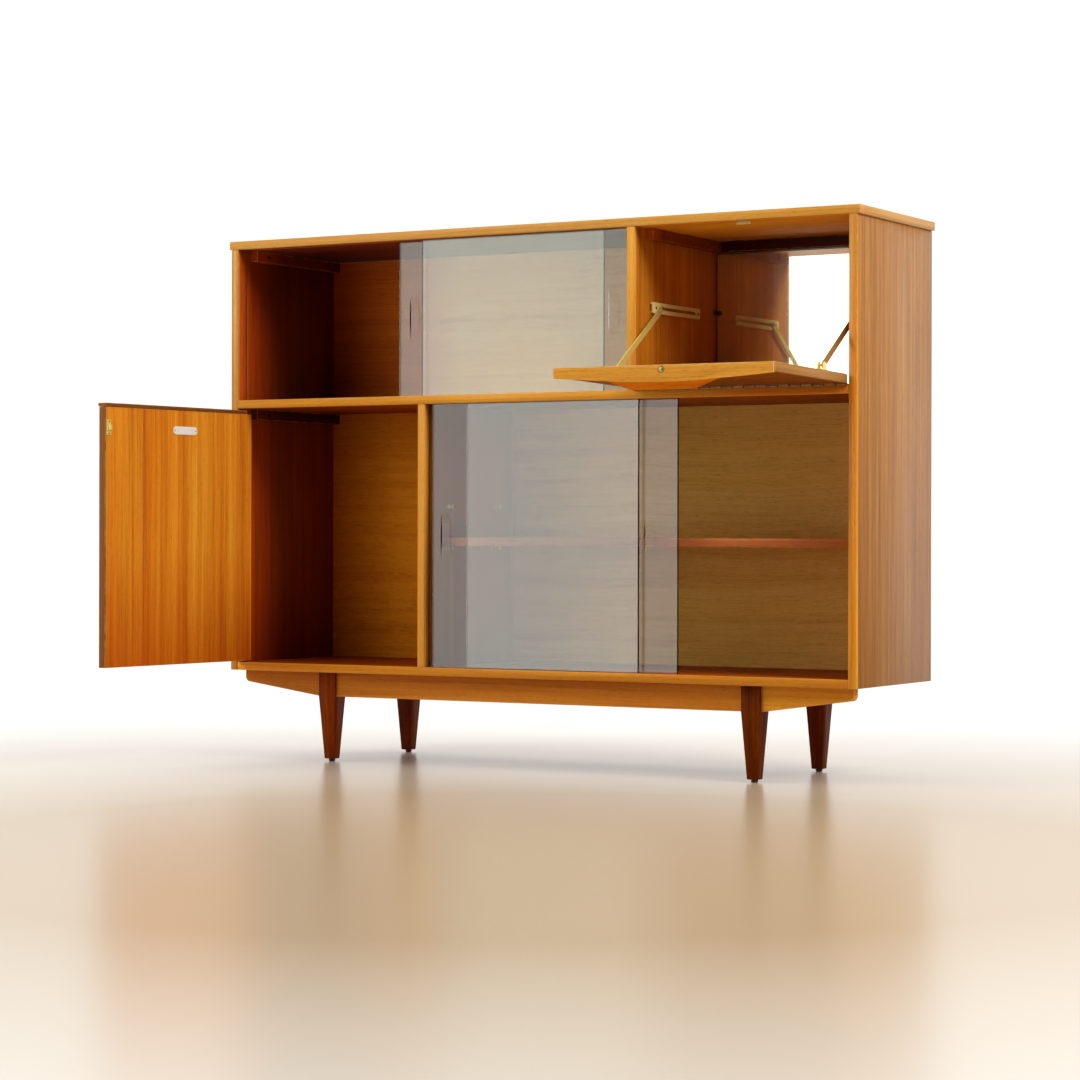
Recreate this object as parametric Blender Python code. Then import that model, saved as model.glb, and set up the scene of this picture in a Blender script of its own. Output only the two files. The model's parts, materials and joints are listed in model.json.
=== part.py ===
# A low china cabinet: a case of boards on a leg frame, with sliding glass above and below,
# a drop flap on slotted stays over a mirrored compartment, and a pivot-hung door.
# Metres, +Z up. In the case's own frame X runs from the left side's outer face, Y from the
# front edges to the back and Z from the case's underside. The root empty carries that frame
# to the part's origin, the middle of the floor area that the open cabinet covers.
import math

import bmesh
import bpy
from mathutils import Matrix, Vector

# Case
CASE_WIDTH = 1.212
CASE_DEPTH = 0.305
CASE_HEIGHT = 0.762
BOARD = 0.0143
BACK_THICKNESS = 0.0035
BACK_REBATE = 0.007
TOP_OVERHANG_SIDE = 0.0045
TOP_OVERHANG_BACK = 0.0015
MIDDLE_LEVEL = 0.4649
UPPER_DIVIDER_AT = 0.8005
LOWER_DIVIDER_AT = 0.3941
EDGE_SOFTENING = 0.0008
SEAT_GAP = 0.0003

# Fixing battens
BATTEN_WIDTH = 0.0145
BATTEN_HEIGHT = 0.0187
BATTEN_SETBACK = 0.039
BATTEN_HOLE_RADIUS = 0.0038
BATTEN_HOLE_DEPTH = 0.008
BATTEN_HOLE_FRONT = 0.0377
BATTEN_HOLE_BACK = 0.0216

# Leg frame
LEG_HEIGHT = 0.1526
LEG_TOP = 0.034
LEG_FOOT = 0.0193
LEG_INSET_SIDE = 0.1768
LEG_INSET_FRONT = 0.019
LEG_INSET_BACK = 0.004
LEG_CHEEK = 0.0055
RAIL_THICKNESS = 0.018
RAIL_HEIGHT = 0.043
RAIL_END_HEIGHT = 0.0215
RAIL_END_INSET = 0.0155
RAIL_CORNER_RADIUS = 0.009
GLIDE_RADIUS = 0.006
GLIDE_FLAT_RADIUS = 0.0042
GLIDE_HEIGHT = 0.0049

# Sliding glass
GLASS_THICKNESS = 0.0045
GLASS_WIDTH = 0.404
FRONT_TRACK = 0.0155
REAR_TRACK = 0.0255
TRACK_WIDTH = 0.0055
TRACK_FOOT_DEPTH = 0.0035
TRACK_HEAD_DEPTH = 0.0065
TRACK_HEAD_ENGAGED = 0.0025
EDGE_GROOVE_DEPTH = 0.004
PULL_WIDTH = 0.018
PULL_HEIGHT = 0.074
PULL_DEPTH = 0.0024
PULL_FLANK = 0.0012
PULL_INSET = 0.030
SHORT_PULL_HEIGHT = 0.0445
SHORT_PULL_INSET = 0.053
PULL_STEPS = 20
PANE_END_GAP = 0.0005
UPPER_REAR_OPEN = 0.8588
UPPER_FRONT_OPEN = 0.0166
LOWER_FRONT_OPEN = 0.0175
LOWER_REAR_OPEN = 0.8184

# Loose shelf and its pegs
SHELF_LEVEL = 0.222
SHELF_THICKNESS = 0.0143
SHELF_SETBACK = 0.055
SHELF_SIDE_GAP = 0.0008
PEG_RADIUS = 0.0036
PEG_STEM_RADIUS = 0.0025
PEG_STEM_LENGTH = 0.008
PEG_HEAD_LENGTH = 0.009
PEG_FROM_FRONT = 0.0775
PEG_FROM_BACK = 0.0675
PEG_ROW_PITCH = 0.072
PEG_FIT = 0.0002

# Lipping pulls of the flap and the door
LIP_STRIP = 0.006
LIP_END_PROUD = 0.002
LIP_MIDDLE_PROUD = 0.0105
LIP_NOSE = 0.0125
LIP_NOSE_DROP = 0.009
LIP_NOSE_THICKNESS = 0.004
LIP_UNDERCUT = 0.004
LIP_NOSE_FLAT = 0.26
LIP_NOSE_SPREAD = 0.56
LIP_STATIONS = 48

# Drop flap
FLAP_OPEN_ANGLE = math.radians(88.8)
FLAP_THICKNESS = 0.0143
FLAP_SIDE_GAP = 0.0015
FLAP_HEAD_GAP = 0.002
HINGE_LEAF = 0.0008
HINGE_LEAF_WIDTH = 0.013
KNUCKLE_RADIUS = 0.0019
KNUCKLE_COUNT = 19
KNUCKLE_GAP = 0.0003
HINGE_PIN_RADIUS = 0.0009
HINGE_BORE_RADIUS = 0.0011
HINGE_END_GAP = 0.001
CATCH_RADIUS = 0.0045
CATCH_DEPTH = 0.010
CATCH_RIM = 0.0004
STRIKE_LENGTH = 0.026
STRIKE_INSET = 0.0022
STRIKE_THICKNESS = 0.0008
STRIKE_DROP = 0.0055
STRIKE_CLEARANCE = 0.0005

# Flap stays
STAY_ARM_LENGTH = 0.1966
STAY_ARM_WIDTH = 0.010
STAY_ARM_THICKNESS = 0.002
STAY_ARM_HOLE = 0.0021
STAY_PIVOT_REACH = 0.0763
STAY_PIVOT_RISE = 0.0085
STAY_LEVEL = 0.618
CHANNEL_HEIGHT = 0.0182
CHANNEL_THICKNESS = 0.005
CHANNEL_LIP = 0.002
CHANNEL_FRONT_END = 0.026
CHANNEL_BACK_END = 0.015
CHANNEL_CORNER = 0.004
SLOT_WIDTH = 0.005
SLOT_UNDERCUT = 0.0125
SLIDER_NECK_RADIUS = 0.0022
SLIDER_HEAD_RADIUS = 0.0045
SLIDER_HEAD_THICKNESS = 0.0022
SLIDER_BOSS_RADIUS = 0.0036
SLIDER_BOSS_THICKNESS = 0.0012
BRACKET_LENGTH = 0.022
BRACKET_FOOT = 0.003
BRACKET_SPREAD = 0.005
BRACKET_PLATE = 0.0016
BRACKET_EAR = 0.002
BRACKET_PIN_RADIUS = 0.0018

# Mirror
MIRROR_THICKNESS = 0.004
MIRROR_EDGE_GAP = 0.001
MIRROR_PEG_RADIUS = 0.0045
MIRROR_PEG_LENGTH = 0.008
MIRROR_PEG_LEVEL = 0.625

# Door
DOOR_OPEN_ANGLE = math.radians(94.2)
DOOR_THICKNESS = 0.0143
DOOR_SIDE_GAP = 0.0015
DOOR_FOOT_GAP = 0.0024
DOOR_HEAD_GAP = 0.0039
DOOR_PIVOT_INSET = 0.0093
DOOR_HINGE_ROUNDING = 0.005
DOOR_LIP_SHORT = 0.0145
DOOR_LIP_PROUD_INSIDE = 0.0012
PIVOT_PIN_RADIUS = 0.0024
PIVOT_PIN_FIT = 0.0002
PIVOT_PIN_DEPTH = 0.009
PIVOT_COLLAR_RADIUS = 0.006
DOOR_CATCH_DROP = 0.041
DOOR_CATCH_HEIGHT = 0.026
DOOR_CATCH_WIDTH = 0.010
DOOR_CATCH_PLATE = 0.0015
DOOR_CATCH_NOSE = 0.006
DOOR_CATCH_EDGE = 0.002
DOOR_STRIKE_HEIGHT = 0.022
DOOR_STRIKE_WIDTH = 0.009
DOOR_STRIKE_THICKNESS = 0.001
DOOR_PLATE_LENGTH = 0.062
DOOR_PLATE_HEIGHT = 0.014
DOOR_PLATE_THICKNESS = 0.0012
DOOR_PLATE_DROP = 0.041
DOOR_PLATE_FROM_HINGE = 0.178

# Places worked out from the sizes above
INNER_LEFT = BOARD
INNER_RIGHT = CASE_WIDTH - BOARD
BOTTOM_TOP = BOARD
MIDDLE_TOP = MIDDLE_LEVEL + BOARD
TOP_UNDERSIDE = CASE_HEIGHT - BOARD
UPPER_DIVIDER_RIGHT = UPPER_DIVIDER_AT + BOARD
LOWER_DIVIDER_RIGHT = LOWER_DIVIDER_AT + BOARD
INNER_BACK = CASE_DEPTH - BACK_THICKNESS - SEAT_GAP
ROUND_SIDES = 16


def make_material(name, colour, roughness, metallic=0.0):
    mat = bpy.data.materials.new(name)
    mat.use_nodes = True
    shader = mat.node_tree.nodes["Principled BSDF"]
    shader.inputs["Base Color"].default_value = (*colour, 1.0)
    shader.inputs["Roughness"].default_value = roughness
    shader.inputs["Metallic"].default_value = metallic
    return mat


def make_object(name, bm, mat, parent, location=(0, 0, 0)):
    mesh = bpy.data.meshes.new(name)
    bm.to_mesh(mesh)
    bm.free()
    mesh.materials.append(mat)
    obj = bpy.data.objects.new(name, mesh)
    bpy.context.collection.objects.link(obj)
    obj.parent = parent
    obj.location = location
    return obj


def make_empty(name, parent=None, location=(0, 0, 0), rotation=(0, 0, 0)):
    empty = bpy.data.objects.new(name, None)
    bpy.context.collection.objects.link(empty)
    empty.parent = parent
    empty.location = location
    empty.rotation_euler = rotation
    return empty


def soften(obj, width=EDGE_SOFTENING):
    bevel = obj.modifiers.new("softened_edges", "BEVEL")
    bevel.width = width
    bevel.segments = 1
    return obj


def make_board(name, low, high, mat, parent, softening=0.0):
    # A square-cut piece between two corners given in its parent's frame.
    low = Vector(low)
    high = Vector(high)
    bm = bmesh.new()
    bmesh.ops.create_cube(bm, size=1.0)
    bmesh.ops.scale(bm, vec=high - low, verts=bm.verts)
    obj = make_object(name, bm, mat, parent, (low + high) / 2)
    return soften(obj, softening) if softening else obj


def make_extrusion(name, outline, along, mat, parent, location=(0, 0, 0)):
    # A flat outline of 3-D points, swept along a vector into a closed solid.
    bm = bmesh.new()
    face = bm.faces.new([bm.verts.new(point) for point in outline])
    swept = bmesh.ops.extrude_face_region(bm, geom=[face])
    moved = [item for item in swept["geom"] if isinstance(item, bmesh.types.BMVert)]
    bmesh.ops.translate(bm, vec=along, verts=moved)
    bmesh.ops.recalc_face_normals(bm, faces=bm.faces)
    return make_object(name, bm, mat, parent, location)


def make_turning(name, profile, mat, parent, location=(0, 0, 0), axis="Z", sides=ROUND_SIDES):
    # A profile of (radius, height) points turned about the named axis, closed at both ends.
    spots = {"X": lambda r, h: (h, r, 0), "Y": lambda r, h: (0, h, r), "Z": lambda r, h: (r, 0, h)}
    turn_about = {"X": (1, 0, 0), "Y": (0, 1, 0), "Z": (0, 0, 1)}[axis]
    bm = bmesh.new()
    points = [(0, profile[0][1]), *profile, (0, profile[-1][1])]
    verts = [bm.verts.new(spots[axis](radius, height)) for radius, height in points]
    edges = [bm.edges.new(pair) for pair in zip(verts, verts[1:])]
    bmesh.ops.spin(bm, geom=verts + edges, axis=turn_about, cent=(0, 0, 0), dvec=(0, 0, 0),
                   angle=math.tau, steps=sides, use_merge=True)
    bmesh.ops.remove_doubles(bm, verts=bm.verts, dist=1e-6)
    bmesh.ops.recalc_face_normals(bm, faces=bm.faces)
    obj = make_object(name, bm, mat, parent, location)
    obj.data.shade_smooth()
    obj.data.set_sharp_from_angle(angle=math.radians(40))
    return obj


def cut(obj, tool, operation="DIFFERENCE"):
    tool.hide_render = True
    tool.display_type = "WIRE"
    change = obj.modifiers.new(tool.name, "BOOLEAN")
    change.operation = operation
    change.object = tool


def cut_board(obj, name, low, high):
    cut(obj, make_board(name, low, high, obj.data.materials[0], obj.parent))


def cut_round(obj, name, radius, start, length, axis):
    profile = [(radius, 0), (radius, length)]
    cut(obj, make_turning(name, profile, obj.data.materials[0], obj.parent, start, axis))


def arc(centre, radius, start, end, steps):
    # Points of an arc in a plane, from one angle to another in degrees.
    angles = [math.radians(start + (end - start) * step / steps) for step in range(steps + 1)]
    return [(centre[0] + radius * math.cos(a), centre[1] + radius * math.sin(a)) for a in angles]


def build_case(root, teak, back_mat):
    depth = INNER_BACK
    over = BOARD
    sides = (("left_side", 0, BOARD - BACK_REBATE), ("right_side", INNER_RIGHT, INNER_RIGHT))
    for name, low_x, rebate_x in sides:
        high = (low_x + BOARD, CASE_DEPTH, TOP_UNDERSIDE - SEAT_GAP)
        side = make_board(name, (low_x, 0, 0), high, teak, root, EDGE_SOFTENING)
        low = (rebate_x - (over if low_x else 0), INNER_BACK, -over)
        high = (rebate_x + BACK_REBATE + (0 if low_x else over), CASE_DEPTH + over, CASE_HEIGHT)
        cut_board(side, name + "_rebate", low, high)
    make_board("top_panel", (-TOP_OVERHANG_SIDE, 0, TOP_UNDERSIDE),
               (CASE_WIDTH + TOP_OVERHANG_SIDE, CASE_DEPTH + TOP_OVERHANG_BACK, CASE_HEIGHT), teak, root,
               EDGE_SOFTENING)
    between = (INNER_LEFT + SEAT_GAP, INNER_RIGHT - SEAT_GAP)
    make_board("bottom_panel", (between[0], 0, 0), (between[1], depth, BOTTOM_TOP), teak, root,
               EDGE_SOFTENING)
    make_board("middle_shelf", (between[0], 0, MIDDLE_LEVEL), (between[1], depth, MIDDLE_TOP), teak, root,
               EDGE_SOFTENING)
    make_board("upper_divider", (UPPER_DIVIDER_AT, 0, MIDDLE_TOP + SEAT_GAP),
               (UPPER_DIVIDER_RIGHT, depth, TOP_UNDERSIDE - SEAT_GAP), teak, root, EDGE_SOFTENING)
    make_board("lower_divider", (LOWER_DIVIDER_AT, 0, BOTTOM_TOP + SEAT_GAP),
               (LOWER_DIVIDER_RIGHT, depth, MIDDLE_LEVEL - SEAT_GAP), teak, root, EDGE_SOFTENING)
    rebate_left = BOARD - BACK_REBATE + SEAT_GAP
    make_board("back_panel", (rebate_left, CASE_DEPTH - BACK_THICKNESS, SEAT_GAP),
               (CASE_WIDTH - rebate_left, CASE_DEPTH, TOP_UNDERSIDE - SEAT_GAP), back_mat, root)


def build_battens(root, teak):
    low_z = TOP_UNDERSIDE - BATTEN_HEIGHT
    rows = (
        ("batten_top_left", INNER_LEFT, 1, low_z),
        ("batten_top_divider", UPPER_DIVIDER_RIGHT, 1, low_z),
        ("batten_top_right", INNER_RIGHT, -1, low_z),
        ("batten_middle_left", INNER_LEFT, 1, MIDDLE_LEVEL - BATTEN_HEIGHT),
    )
    for name, face, away, level in rows:
        ends = sorted((face + away * SEAT_GAP, face + away * BATTEN_WIDTH))
        batten = make_board(name, (ends[0], BATTEN_SETBACK, level),
                            (ends[1], INNER_BACK - SEAT_GAP, level + BATTEN_HEIGHT - SEAT_GAP), teak, root)
        holes = (BATTEN_SETBACK + BATTEN_HOLE_FRONT, INNER_BACK - BATTEN_HOLE_BACK)
        for count, hole_y in enumerate(holes):
            mouth = face + away * BATTEN_WIDTH
            floor = mouth - away * BATTEN_HOLE_DEPTH
            start = min(floor, mouth) - (BATTEN_WIDTH if away < 0 else 0)
            cut_round(batten, f"{name}_hole_{count}", BATTEN_HOLE_RADIUS,
                      (start, hole_y, level + BATTEN_HEIGHT / 2), BATTEN_HOLE_DEPTH + BATTEN_WIDTH, "X")
    low = (UPPER_DIVIDER_RIGHT + BATTEN_WIDTH + SEAT_GAP, INNER_BACK - BATTEN_WIDTH, low_z)
    high = (INNER_RIGHT - BATTEN_WIDTH - SEAT_GAP, INNER_BACK - SEAT_GAP, TOP_UNDERSIDE - SEAT_GAP)
    make_board("batten_top_back", low, high, teak, root)


def build_leg_frame(root, teak, dark, brass):
    top = -SEAT_GAP
    foot = -LEG_HEIGHT
    lefts = (LEG_INSET_SIDE, CASE_WIDTH - LEG_INSET_SIDE - LEG_TOP)
    rows = (("front", LEG_INSET_FRONT, LEG_INSET_FRONT + LEG_CHEEK),
            ("rear", CASE_DEPTH - LEG_INSET_BACK - LEG_TOP,
             CASE_DEPTH - LEG_INSET_BACK - LEG_CHEEK - RAIL_THICKNESS))
    taper = (LEG_TOP - LEG_FOOT) / 2
    for row, near, rail_near in rows:
        for hand, left in zip(("left", "right"), lefts):
            bm = bmesh.new()
            rings = []
            for level, inset in ((top, 0), (-RAIL_HEIGHT, 0), (foot, taper)):
                low = inset
                high = LEG_TOP - inset
                corners = ((low, low), (high, low), (high, high), (low, high))
                rings.append([bm.verts.new((left + x, near + y, level)) for x, y in corners])
            bm.faces.new(rings[0])
            bm.faces.new(rings[-1])
            for upper, lower in zip(rings, rings[1:]):
                for i in range(4):
                    bm.faces.new((upper[i], upper[i - 1], lower[i - 1], lower[i]))
            bmesh.ops.recalc_face_normals(bm, faces=bm.faces)
            leg = soften(make_object(f"leg_{row}_{hand}", bm, dark, root))
            cut_board(leg, f"leg_{row}_{hand}_slot",
                      (left - LEG_TOP, rail_near - SEAT_GAP, -RAIL_HEIGHT - SEAT_GAP),
                      (left + 2 * LEG_TOP, rail_near + RAIL_THICKNESS + SEAT_GAP, LEG_TOP))
            centre = (left + LEG_TOP / 2, near + LEG_TOP / 2, foot - SEAT_GAP)
            profile = ((GLIDE_RADIUS * 0.8, 0), (GLIDE_RADIUS, -GLIDE_HEIGHT * 0.25),
                       (GLIDE_RADIUS, -GLIDE_HEIGHT * 0.6), (GLIDE_FLAT_RADIUS, -GLIDE_HEIGHT + SEAT_GAP))
            make_turning(f"glide_{row}_{hand}", profile, brass, root, centre)
    # The front rail tapers from the legs to rounded ends; the rear one stops at its legs.
    ends = (RAIL_END_INSET, CASE_WIDTH - RAIL_END_INSET)
    taper_starts = (lefts[0], lefts[1] + LEG_TOP)
    radius = RAIL_CORNER_RADIUS
    corner_z = -RAIL_END_HEIGHT + radius
    outline = [(ends[0], top), (ends[1], top)]
    outline += arc((ends[1] - radius, corner_z), radius, 0, -80, 4)
    outline += [(taper_starts[1], -RAIL_HEIGHT), (taper_starts[0], -RAIL_HEIGHT)]
    outline += arc((ends[0] + radius, corner_z), radius, -100, -180, 4)
    rail_near = rows[0][2]
    points = [(x, rail_near, z) for x, z in outline]
    make_extrusion("front_rail", points, (0, RAIL_THICKNESS, 0), teak, root)
    rail_near = rows[1][2]
    make_board("rear_rail", (taper_starts[0], rail_near, -RAIL_HEIGHT),
               (taper_starts[1], rail_near + RAIL_THICKNESS, top), teak, root)


def make_scoop(name, centre, height, mat, parent):
    # The slice of a grinding wheel that takes out a finger pull. Its axle lies across the pane and its
    # flanks lean, so the cut is deepest and widest at half its height.
    radius = ((height / 2) ** 2 + PULL_DEPTH ** 2) / (2 * PULL_DEPTH)
    axle = (0, PULL_DEPTH - radius, 0)
    reach = math.acos(1 - 2 * PULL_DEPTH / radius)
    rim = PULL_WIDTH / 2 - PULL_FLANK
    waist = PULL_WIDTH / 2 + PULL_FLANK
    section = ((-rim, PULL_DEPTH), (rim, PULL_DEPTH), (waist, -PULL_DEPTH), (-waist, -PULL_DEPTH))
    bm = bmesh.new()
    face = bm.faces.new([bm.verts.new((x, y, 0)) for x, y in section])
    bmesh.ops.rotate(bm, cent=axle, matrix=Matrix.Rotation(-reach, 3, "X"), verts=bm.verts)
    bmesh.ops.spin(bm, geom=[face], axis=(1, 0, 0), cent=axle, dvec=(0, 0, 0), angle=2 * reach,
                   steps=PULL_STEPS)
    bmesh.ops.recalc_face_normals(bm, faces=bm.faces)
    return make_object(name, bm, mat, parent, centre)


def build_glass(root, glass):
    objects = bpy.data.objects
    half = TRACK_WIDTH / 2
    bays = (
        ("upper", INNER_LEFT, UPPER_DIVIDER_AT, MIDDLE_TOP, TOP_UNDERSIDE, "middle_shelf", "top_panel"),
        ("lower", LOWER_DIVIDER_RIGHT, INNER_RIGHT, BOTTOM_TOP, MIDDLE_LEVEL, "bottom_panel",
         "middle_shelf"),
    )
    levels = {}
    for bay, left, right, foot, head, foot_board, head_board in bays:
        for row, track in (("front", FRONT_TRACK), ("rear", REAR_TRACK)):
            cut_board(objects[foot_board], f"{bay}_{row}_foot_track",
                      (left - EDGE_GROOVE_DEPTH, track - half, foot - TRACK_FOOT_DEPTH),
                      (right + EDGE_GROOVE_DEPTH, track + half, foot + TRACK_WIDTH))
            cut_board(objects[head_board], f"{bay}_{row}_head_track",
                      (left - EDGE_GROOVE_DEPTH, track - half, head - TRACK_WIDTH),
                      (right + EDGE_GROOVE_DEPTH, track + half, head + TRACK_HEAD_DEPTH))
        levels[bay] = (foot - TRACK_FOOT_DEPTH + SEAT_GAP, head + TRACK_HEAD_ENGAGED, (foot + head) / 2)
    # Each pane closes into a groove of the board at its own end.
    over = TRACK_WIDTH
    closings = (
        ("left_side", REAR_TRACK, INNER_LEFT, 1, "upper"),
        ("upper_divider", FRONT_TRACK, UPPER_DIVIDER_AT, -1, "upper"),
        ("lower_divider", FRONT_TRACK, LOWER_DIVIDER_RIGHT, 1, "lower"),
        ("right_side", REAR_TRACK, INNER_RIGHT, -1, "lower"),
    )
    for board, track, wall, away, bay in closings:
        foot, head, _ = levels[bay]
        low_x, high_x = sorted((wall - away * EDGE_GROOVE_DEPTH, wall + away * over))
        cut_board(objects[board], f"{board}_edge_groove", (low_x, track - half, foot - SEAT_GAP),
                  (high_x, track + half, head + TRACK_HEAD_DEPTH - TRACK_HEAD_ENGAGED))
    # A pane shuts into its groove; where it stands open is a share of its way to the far wall.
    into = EDGE_GROOVE_DEPTH - PANE_END_GAP
    ways = {bay: right - left + into - GLASS_WIDTH - PANE_END_GAP for bay, left, right, *_ in bays}
    shut_left = into - GLASS_WIDTH
    panes = (
        ("upper_rear_glass", "upper", REAR_TRACK, INNER_LEFT - into + UPPER_REAR_OPEN * ways["upper"],
         PULL_INSET, PULL_HEIGHT),
        ("upper_front_glass", "upper", FRONT_TRACK,
         UPPER_DIVIDER_AT + shut_left - UPPER_FRONT_OPEN * ways["upper"], GLASS_WIDTH - PULL_INSET,
         PULL_HEIGHT),
        ("lower_front_glass", "lower", FRONT_TRACK,
         LOWER_DIVIDER_RIGHT - into + LOWER_FRONT_OPEN * ways["lower"], PULL_INSET, PULL_HEIGHT),
        ("lower_rear_glass", "lower", REAR_TRACK,
         INNER_RIGHT + shut_left - LOWER_REAR_OPEN * ways["lower"], GLASS_WIDTH - SHORT_PULL_INSET,
         SHORT_PULL_HEIGHT),
    )
    for name, bay, track, left, pull, pull_height in panes:
        foot, head, middle = levels[bay]
        front = track - GLASS_THICKNESS / 2
        far_corner = (left + GLASS_WIDTH, front + GLASS_THICKNESS, head)
        pane = make_board(name, (left, front, foot), far_corner, glass, root)
        cut(pane, make_scoop(name + "_pull", (left + pull, front, middle), pull_height, glass, root))


def build_loose_shelf(root, teak, ivory):
    low = (LOWER_DIVIDER_RIGHT + SHELF_SIDE_GAP, SHELF_SETBACK, SHELF_LEVEL)
    high = (INNER_RIGHT - SHELF_SIDE_GAP, INNER_BACK - SEAT_GAP, SHELF_LEVEL + SHELF_THICKNESS)
    make_board("loose_shelf", low, high, teak, root, EDGE_SOFTENING)
    level = SHELF_LEVEL - SEAT_GAP - PEG_RADIUS
    fronts = (("front", PEG_FROM_FRONT), ("back", CASE_DEPTH - PEG_FROM_BACK))
    spare = (level + PEG_ROW_PITCH, "_spare")
    rows = (("left", "lower_divider", LOWER_DIVIDER_RIGHT, 1, ((level, ""), spare)),
            ("right", "right_side", INNER_RIGHT, -1, ((level, ""),)))
    for hand, board, face, away, heights in rows:
        for peg_z, suffix in heights:
            for place, peg_y in fronts:
                name = f"peg_{hand}_{place}{suffix}"
                head = face + away * SEAT_GAP
                profile = ((PEG_STEM_RADIUS, -away * PEG_STEM_LENGTH), (PEG_STEM_RADIUS, 0), (PEG_RADIUS, 0),
                           (PEG_RADIUS, away * PEG_HEAD_LENGTH))
                make_turning(name, profile, ivory, root, (head, peg_y, peg_z), "X", 12)
                hole = PEG_STEM_LENGTH + 2 * SEAT_GAP
                cut_round(bpy.data.objects[board], name + "_hole", PEG_STEM_RADIUS + PEG_FIT,
                          (face - hole, peg_y, peg_z), 2 * hole, "X")


def lip_section(share, back, face, top):
    # The section of a lipping pull at a share of its half length, swelling to a nose in front.
    rise = min(1.0, max(0.0, (LIP_NOSE_SPREAD - abs(share)) / (LIP_NOSE_SPREAD - LIP_NOSE_FLAT)))
    swell = rise * rise * (3 - 2 * rise)
    proud = LIP_END_PROUD + (LIP_MIDDLE_PROUD - LIP_END_PROUD) * (1 - share * share)
    nose = proud + LIP_NOSE * swell
    nose_top = top - LIP_STRIP / 2 - (LIP_NOSE_DROP - LIP_STRIP / 2) * swell
    nose_foot = min(nose_top - LIP_STRIP / 3 - (LIP_NOSE_THICKNESS - LIP_STRIP / 3) * swell, nose_top)
    under = nose_foot + LIP_UNDERCUT * swell
    strip_foot = top - LIP_STRIP
    hollow = min(under, strip_foot + LIP_STRIP / 6)
    return ((back, top), (face - proud, top), (face - nose, nose_top), (face - nose * 0.92, nose_foot),
            (face - nose * 0.5, hollow), (face, strip_foot), (back, strip_foot))


def make_lip(name, ends, back, face, top, mat, parent):
    bm = bmesh.new()
    rings = []
    for station in range(LIP_STATIONS + 1):
        share = 2 * station / LIP_STATIONS - 1
        x = ends[0] + (ends[1] - ends[0]) * station / LIP_STATIONS
        rings.append([bm.verts.new((x, y, z)) for y, z in lip_section(share, back, face, top)])
    bm.faces.new(rings[0])
    bm.faces.new(rings[-1])
    for one, other in zip(rings, rings[1:]):
        for i in range(len(one)):
            bm.faces.new((one[i], one[i - 1], other[i - 1], other[i]))
    bmesh.ops.triangulate(bm, faces=bm.faces)
    bmesh.ops.recalc_face_normals(bm, faces=bm.faces)
    return make_object(name, bm, mat, parent)


def make_leaf(name, plate, spans, other_spans, brass, parent):
    # One half of the piano hinge: its leaf, its knuckles and room for the other half's knuckles.
    leaf = make_board(name, *plate, brass, parent)
    for number, (start, length) in enumerate(spans):
        profile = [(KNUCKLE_RADIUS, 0), (KNUCKLE_RADIUS, length)]
        knuckle = make_turning(f"{name}_knuckle_{number}", profile, brass, parent, (start, 0, 0), "X", 12)
        cut(leaf, knuckle, "UNION")
    room = KNUCKLE_RADIUS + SEAT_GAP
    for number, (start, length) in enumerate(other_spans):
        cut_board(leaf, f"{name}_room_{number}", (start - KNUCKLE_GAP, -2 * room, -2 * room),
                  (start + length + KNUCKLE_GAP, room, 2 * room))
    whole = plate[1][0] - plate[0][0]
    cut_round(leaf, name + "_bore", HINGE_BORE_RADIUS, (plate[0][0] - whole, 0, 0), 3 * whole, "X")


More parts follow.
